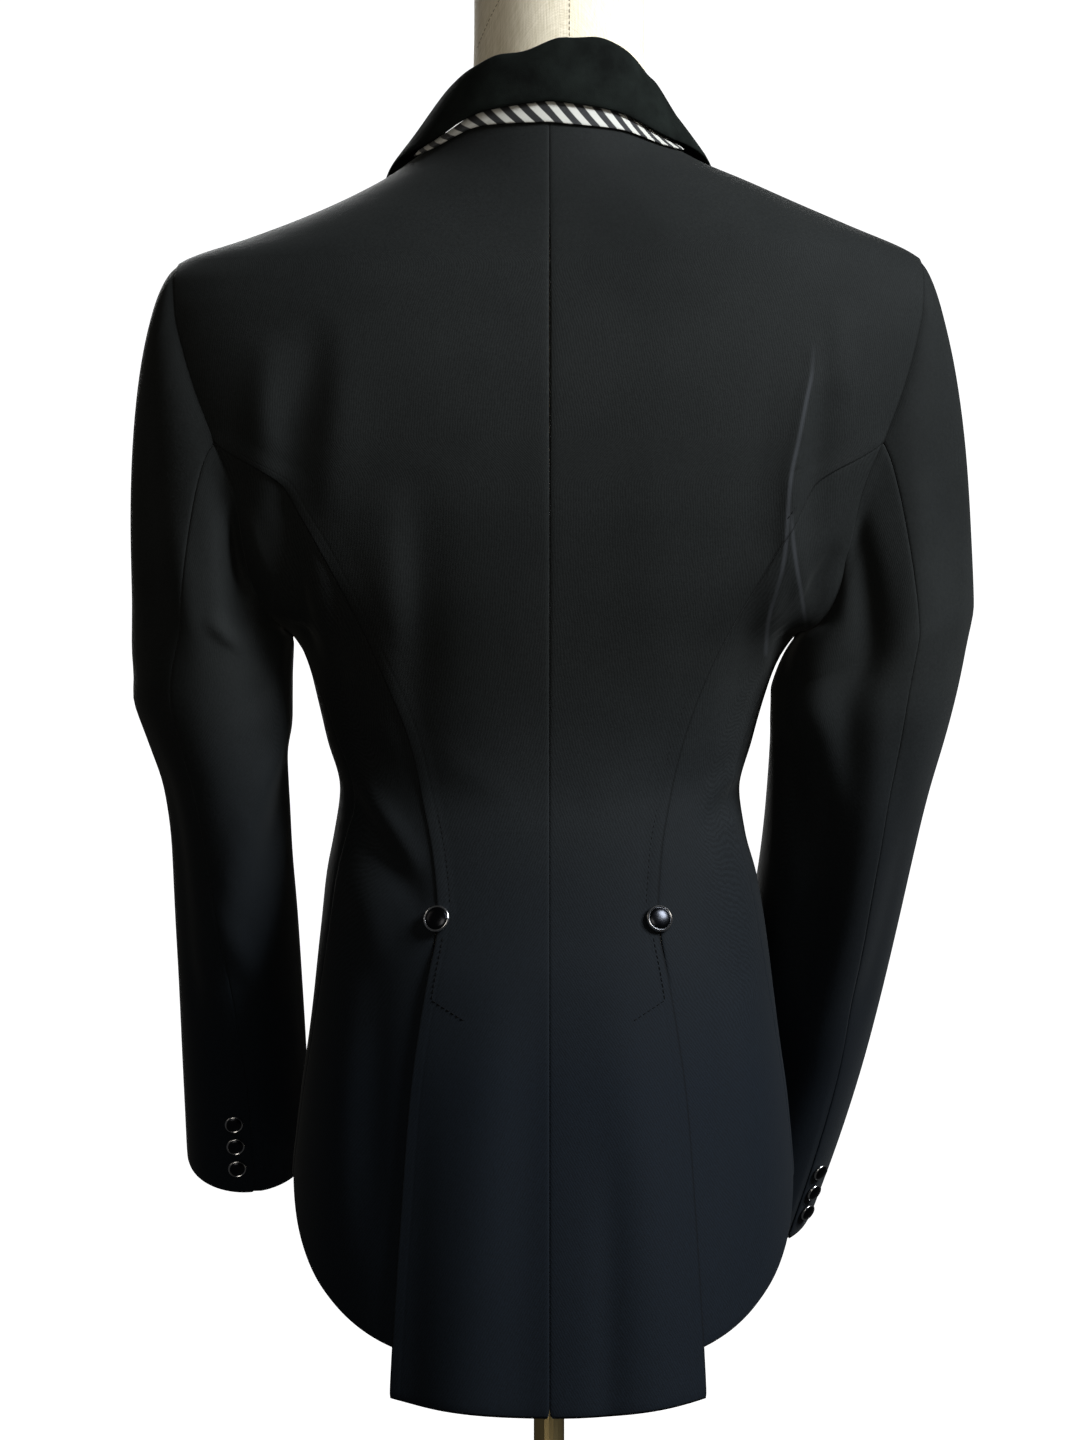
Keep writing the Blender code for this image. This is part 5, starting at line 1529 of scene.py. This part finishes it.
def metal(name, colour, roughness, scratch):
    """Polished metal with fine handling marks in its gloss."""
    made, add, feed = surface(name, colour, roughness, Metallic=1.0)
    place = add("TexCoord").outputs["Object"]
    marks = add("TexNoise", {"Scale": 260.0, "Detail": 4.0, "Roughness": 0.7}, Vector=place)
    feed(Roughness=add("MapRange", {"To Min": roughness - scratch, "To Max": roughness + scratch},
                       Value=marks))
    return made


def painted(name, colour, roughness):
    """Powder paint: a faint orange-peel skin over steel."""
    made, add, feed = surface(name, colour, roughness)
    place = add("TexCoord").outputs["Object"]
    peel = add("TexNoise", {"Scale": 420.0, "Detail": 2.0}, Vector=place)
    feed(Normal=add("Bump", {"Strength": 0.15, "Distance": 0.0003}, Height=peel))
    return made


def give(node_name, surface_made):
    """Assign a material to every slot of a solid that stays as it is."""
    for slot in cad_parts[node_name].material_slots:
        slot.material = surface_made


def backdrop():
    """Pale round floor that sweeps up into a wall. It is left out of bounced light, as if the
    object stood far from any wall."""
    shape = bmesh.new()
    turns = [math.tau * k / SWEEP_SIDES for k in range(SWEEP_SIDES)]
    rings = [[shape.verts.new((r * math.cos(turn), r * math.sin(turn), z)) for turn in turns]
             for r, z in STAGE]
    for inner, outer in zip(rings, rings[1:]):
        for k in range(SWEEP_SIDES):
            n = (k + 1) % SWEEP_SIDES
            shape.faces.new((inner[k], outer[k], outer[n], inner[n]))
    sweep = placed("studio_sweep", finished(shape, "studio_sweep"))
    sweep.visible_diffuse = False
    sweep.visible_glossy = False
    made, add, feed = surface("studio_paper", "F2F2F2", 0.9, Emission_Color=(1.0, 1.0, 1.0, 1.0))
    away = add("VectorMath", {"operation": "LENGTH"}, _0=add("TexCoord").outputs["Object"])
    feed(Emission_Strength=add("MapRange", {"From Min": 1.2, "From Max": 4.5, "To Min": FLOOR_GLOW,
                                            "To Max": WALL_GLOW}, Value=away))
    sweep.data.materials.append(made)


def studio():
    """Backdrop, soft lights and the camera."""
    backdrop()
    for name, place, size, power, tint in LIGHTS:
        lamp = bpy.data.lights.new(name, "AREA")
        lamp.shape = "RECTANGLE"
        lamp.size, lamp.size_y = size
        lamp.energy = power
        lamp.color = hex_colour(tint)[:3]
        holder = placed(name, lamp)
        holder.location = place
        aim = Vector((0.0, 0.0, AIM_HEIGHT)) - Vector(place)
        holder.rotation_mode = "QUATERNION"
        holder.rotation_quaternion = aim.to_track_quat("-Z", "Y")
    world = bpy.data.worlds.new("studio_air")
    world.use_nodes = True
    air = world.node_tree.nodes["Background"]
    air.inputs["Color"].default_value = (1.0, 1.0, 1.0, 1.0)
    air.inputs["Strength"].default_value = AIR_LIGHT
    scene = bpy.context.scene
    scene.world = world
    lens = bpy.data.cameras.new("camera")
    lens.sensor_fit = "VERTICAL"
    lens.angle = 2 * math.atan(0.5 * PHOTO_HEIGHT / PHOTO_SCALE / CAMERA_AWAY)
    eye = placed("camera", lens)
    eye.location = (CAMERA_X, CAMERA_AWAY, CAMERA_Z)
    eye.rotation_euler = (math.radians(90), 0.0, math.radians(180))
    scene.camera = eye
    scene.view_settings.view_transform = "Standard"


CUTS = []
NAVY = twill("navy_stretch_twill")
NAVY_STITCHED_SHADED = twill("navy_stretch_twill_topstitched_seam_shadow", stitched_and_shaded=True)
NAVY_HIGHLIGHTED = twill("navy_stretch_twill_painted_highlight", highlighted=True)
NAVY_SEAM_SHADOW_AND_HIGHLIGHT = twill("navy_stretch_twill_topstitched_seam_shadow_highlight", stitched_and_shaded=True, highlighted=True)
COVERS = {"back_left": NAVY_STITCHED_SHADED, "back_right": NAVY_SEAM_SHADOW_AND_HIGHLIGHT, "side_right": NAVY_HIGHLIGHTED}
VELVET_BLACK = velvet()
STRIPE = striped()
LINEN = linen()
THREAD, _, _ = surface("navy_thread", "050506", 0.9, Specular_IOR_Level=0.15)
LINEN_THREAD, _, _ = surface("linen_thread", "9C927C", 0.7)
BUTTON_DARK = metal("button_gunmetal", "2A2B2F", 0.24, 0.05)
BUTTON_RIM = metal("button_bright_rim", "B9BABD", 0.20, 0.05)
PATTERN = button_pattern()

dress_form()
CLOTHS = {}
for one_side, word in SIDES:
    for panel, shape_rows in (("back_", back_rows), ("side_", side_rows), ("front_", front_rows)):
        cover = COVERS.get(panel + word, NAVY)
        CLOTHS[panel + word] = cloth(panel + word, shape_rows(one_side), cover)
    lapel(one_side, word)
collar()
collar_band()
sleeve(LEFT_SLEEVE, 1, "left", LEFT_FULLNESS, LEFT_CREASES)
sleeve(RIGHT_SLEEVE, -1, "right", RIGHT_FULLNESS, RIGHT_CREASES)
waist_buttons(CLOTHS)
front_buttons(CLOTHS["front_right"])
bpy.data.objects.remove(PATTERN)
seam_stitches()
neck_seams()
give("form_neck_cap", LINEN)
give("stand_pole", metal("stand_brass", "D2BC86", 0.36, 0.015))
give("stand_base", painted("base_black_paint", "1D1D1F", 0.5))
studio()

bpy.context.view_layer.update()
for name, width, length, area in CUTS:
    print("cut", name, round(width, 3), round(length, 3), round(area, 4))
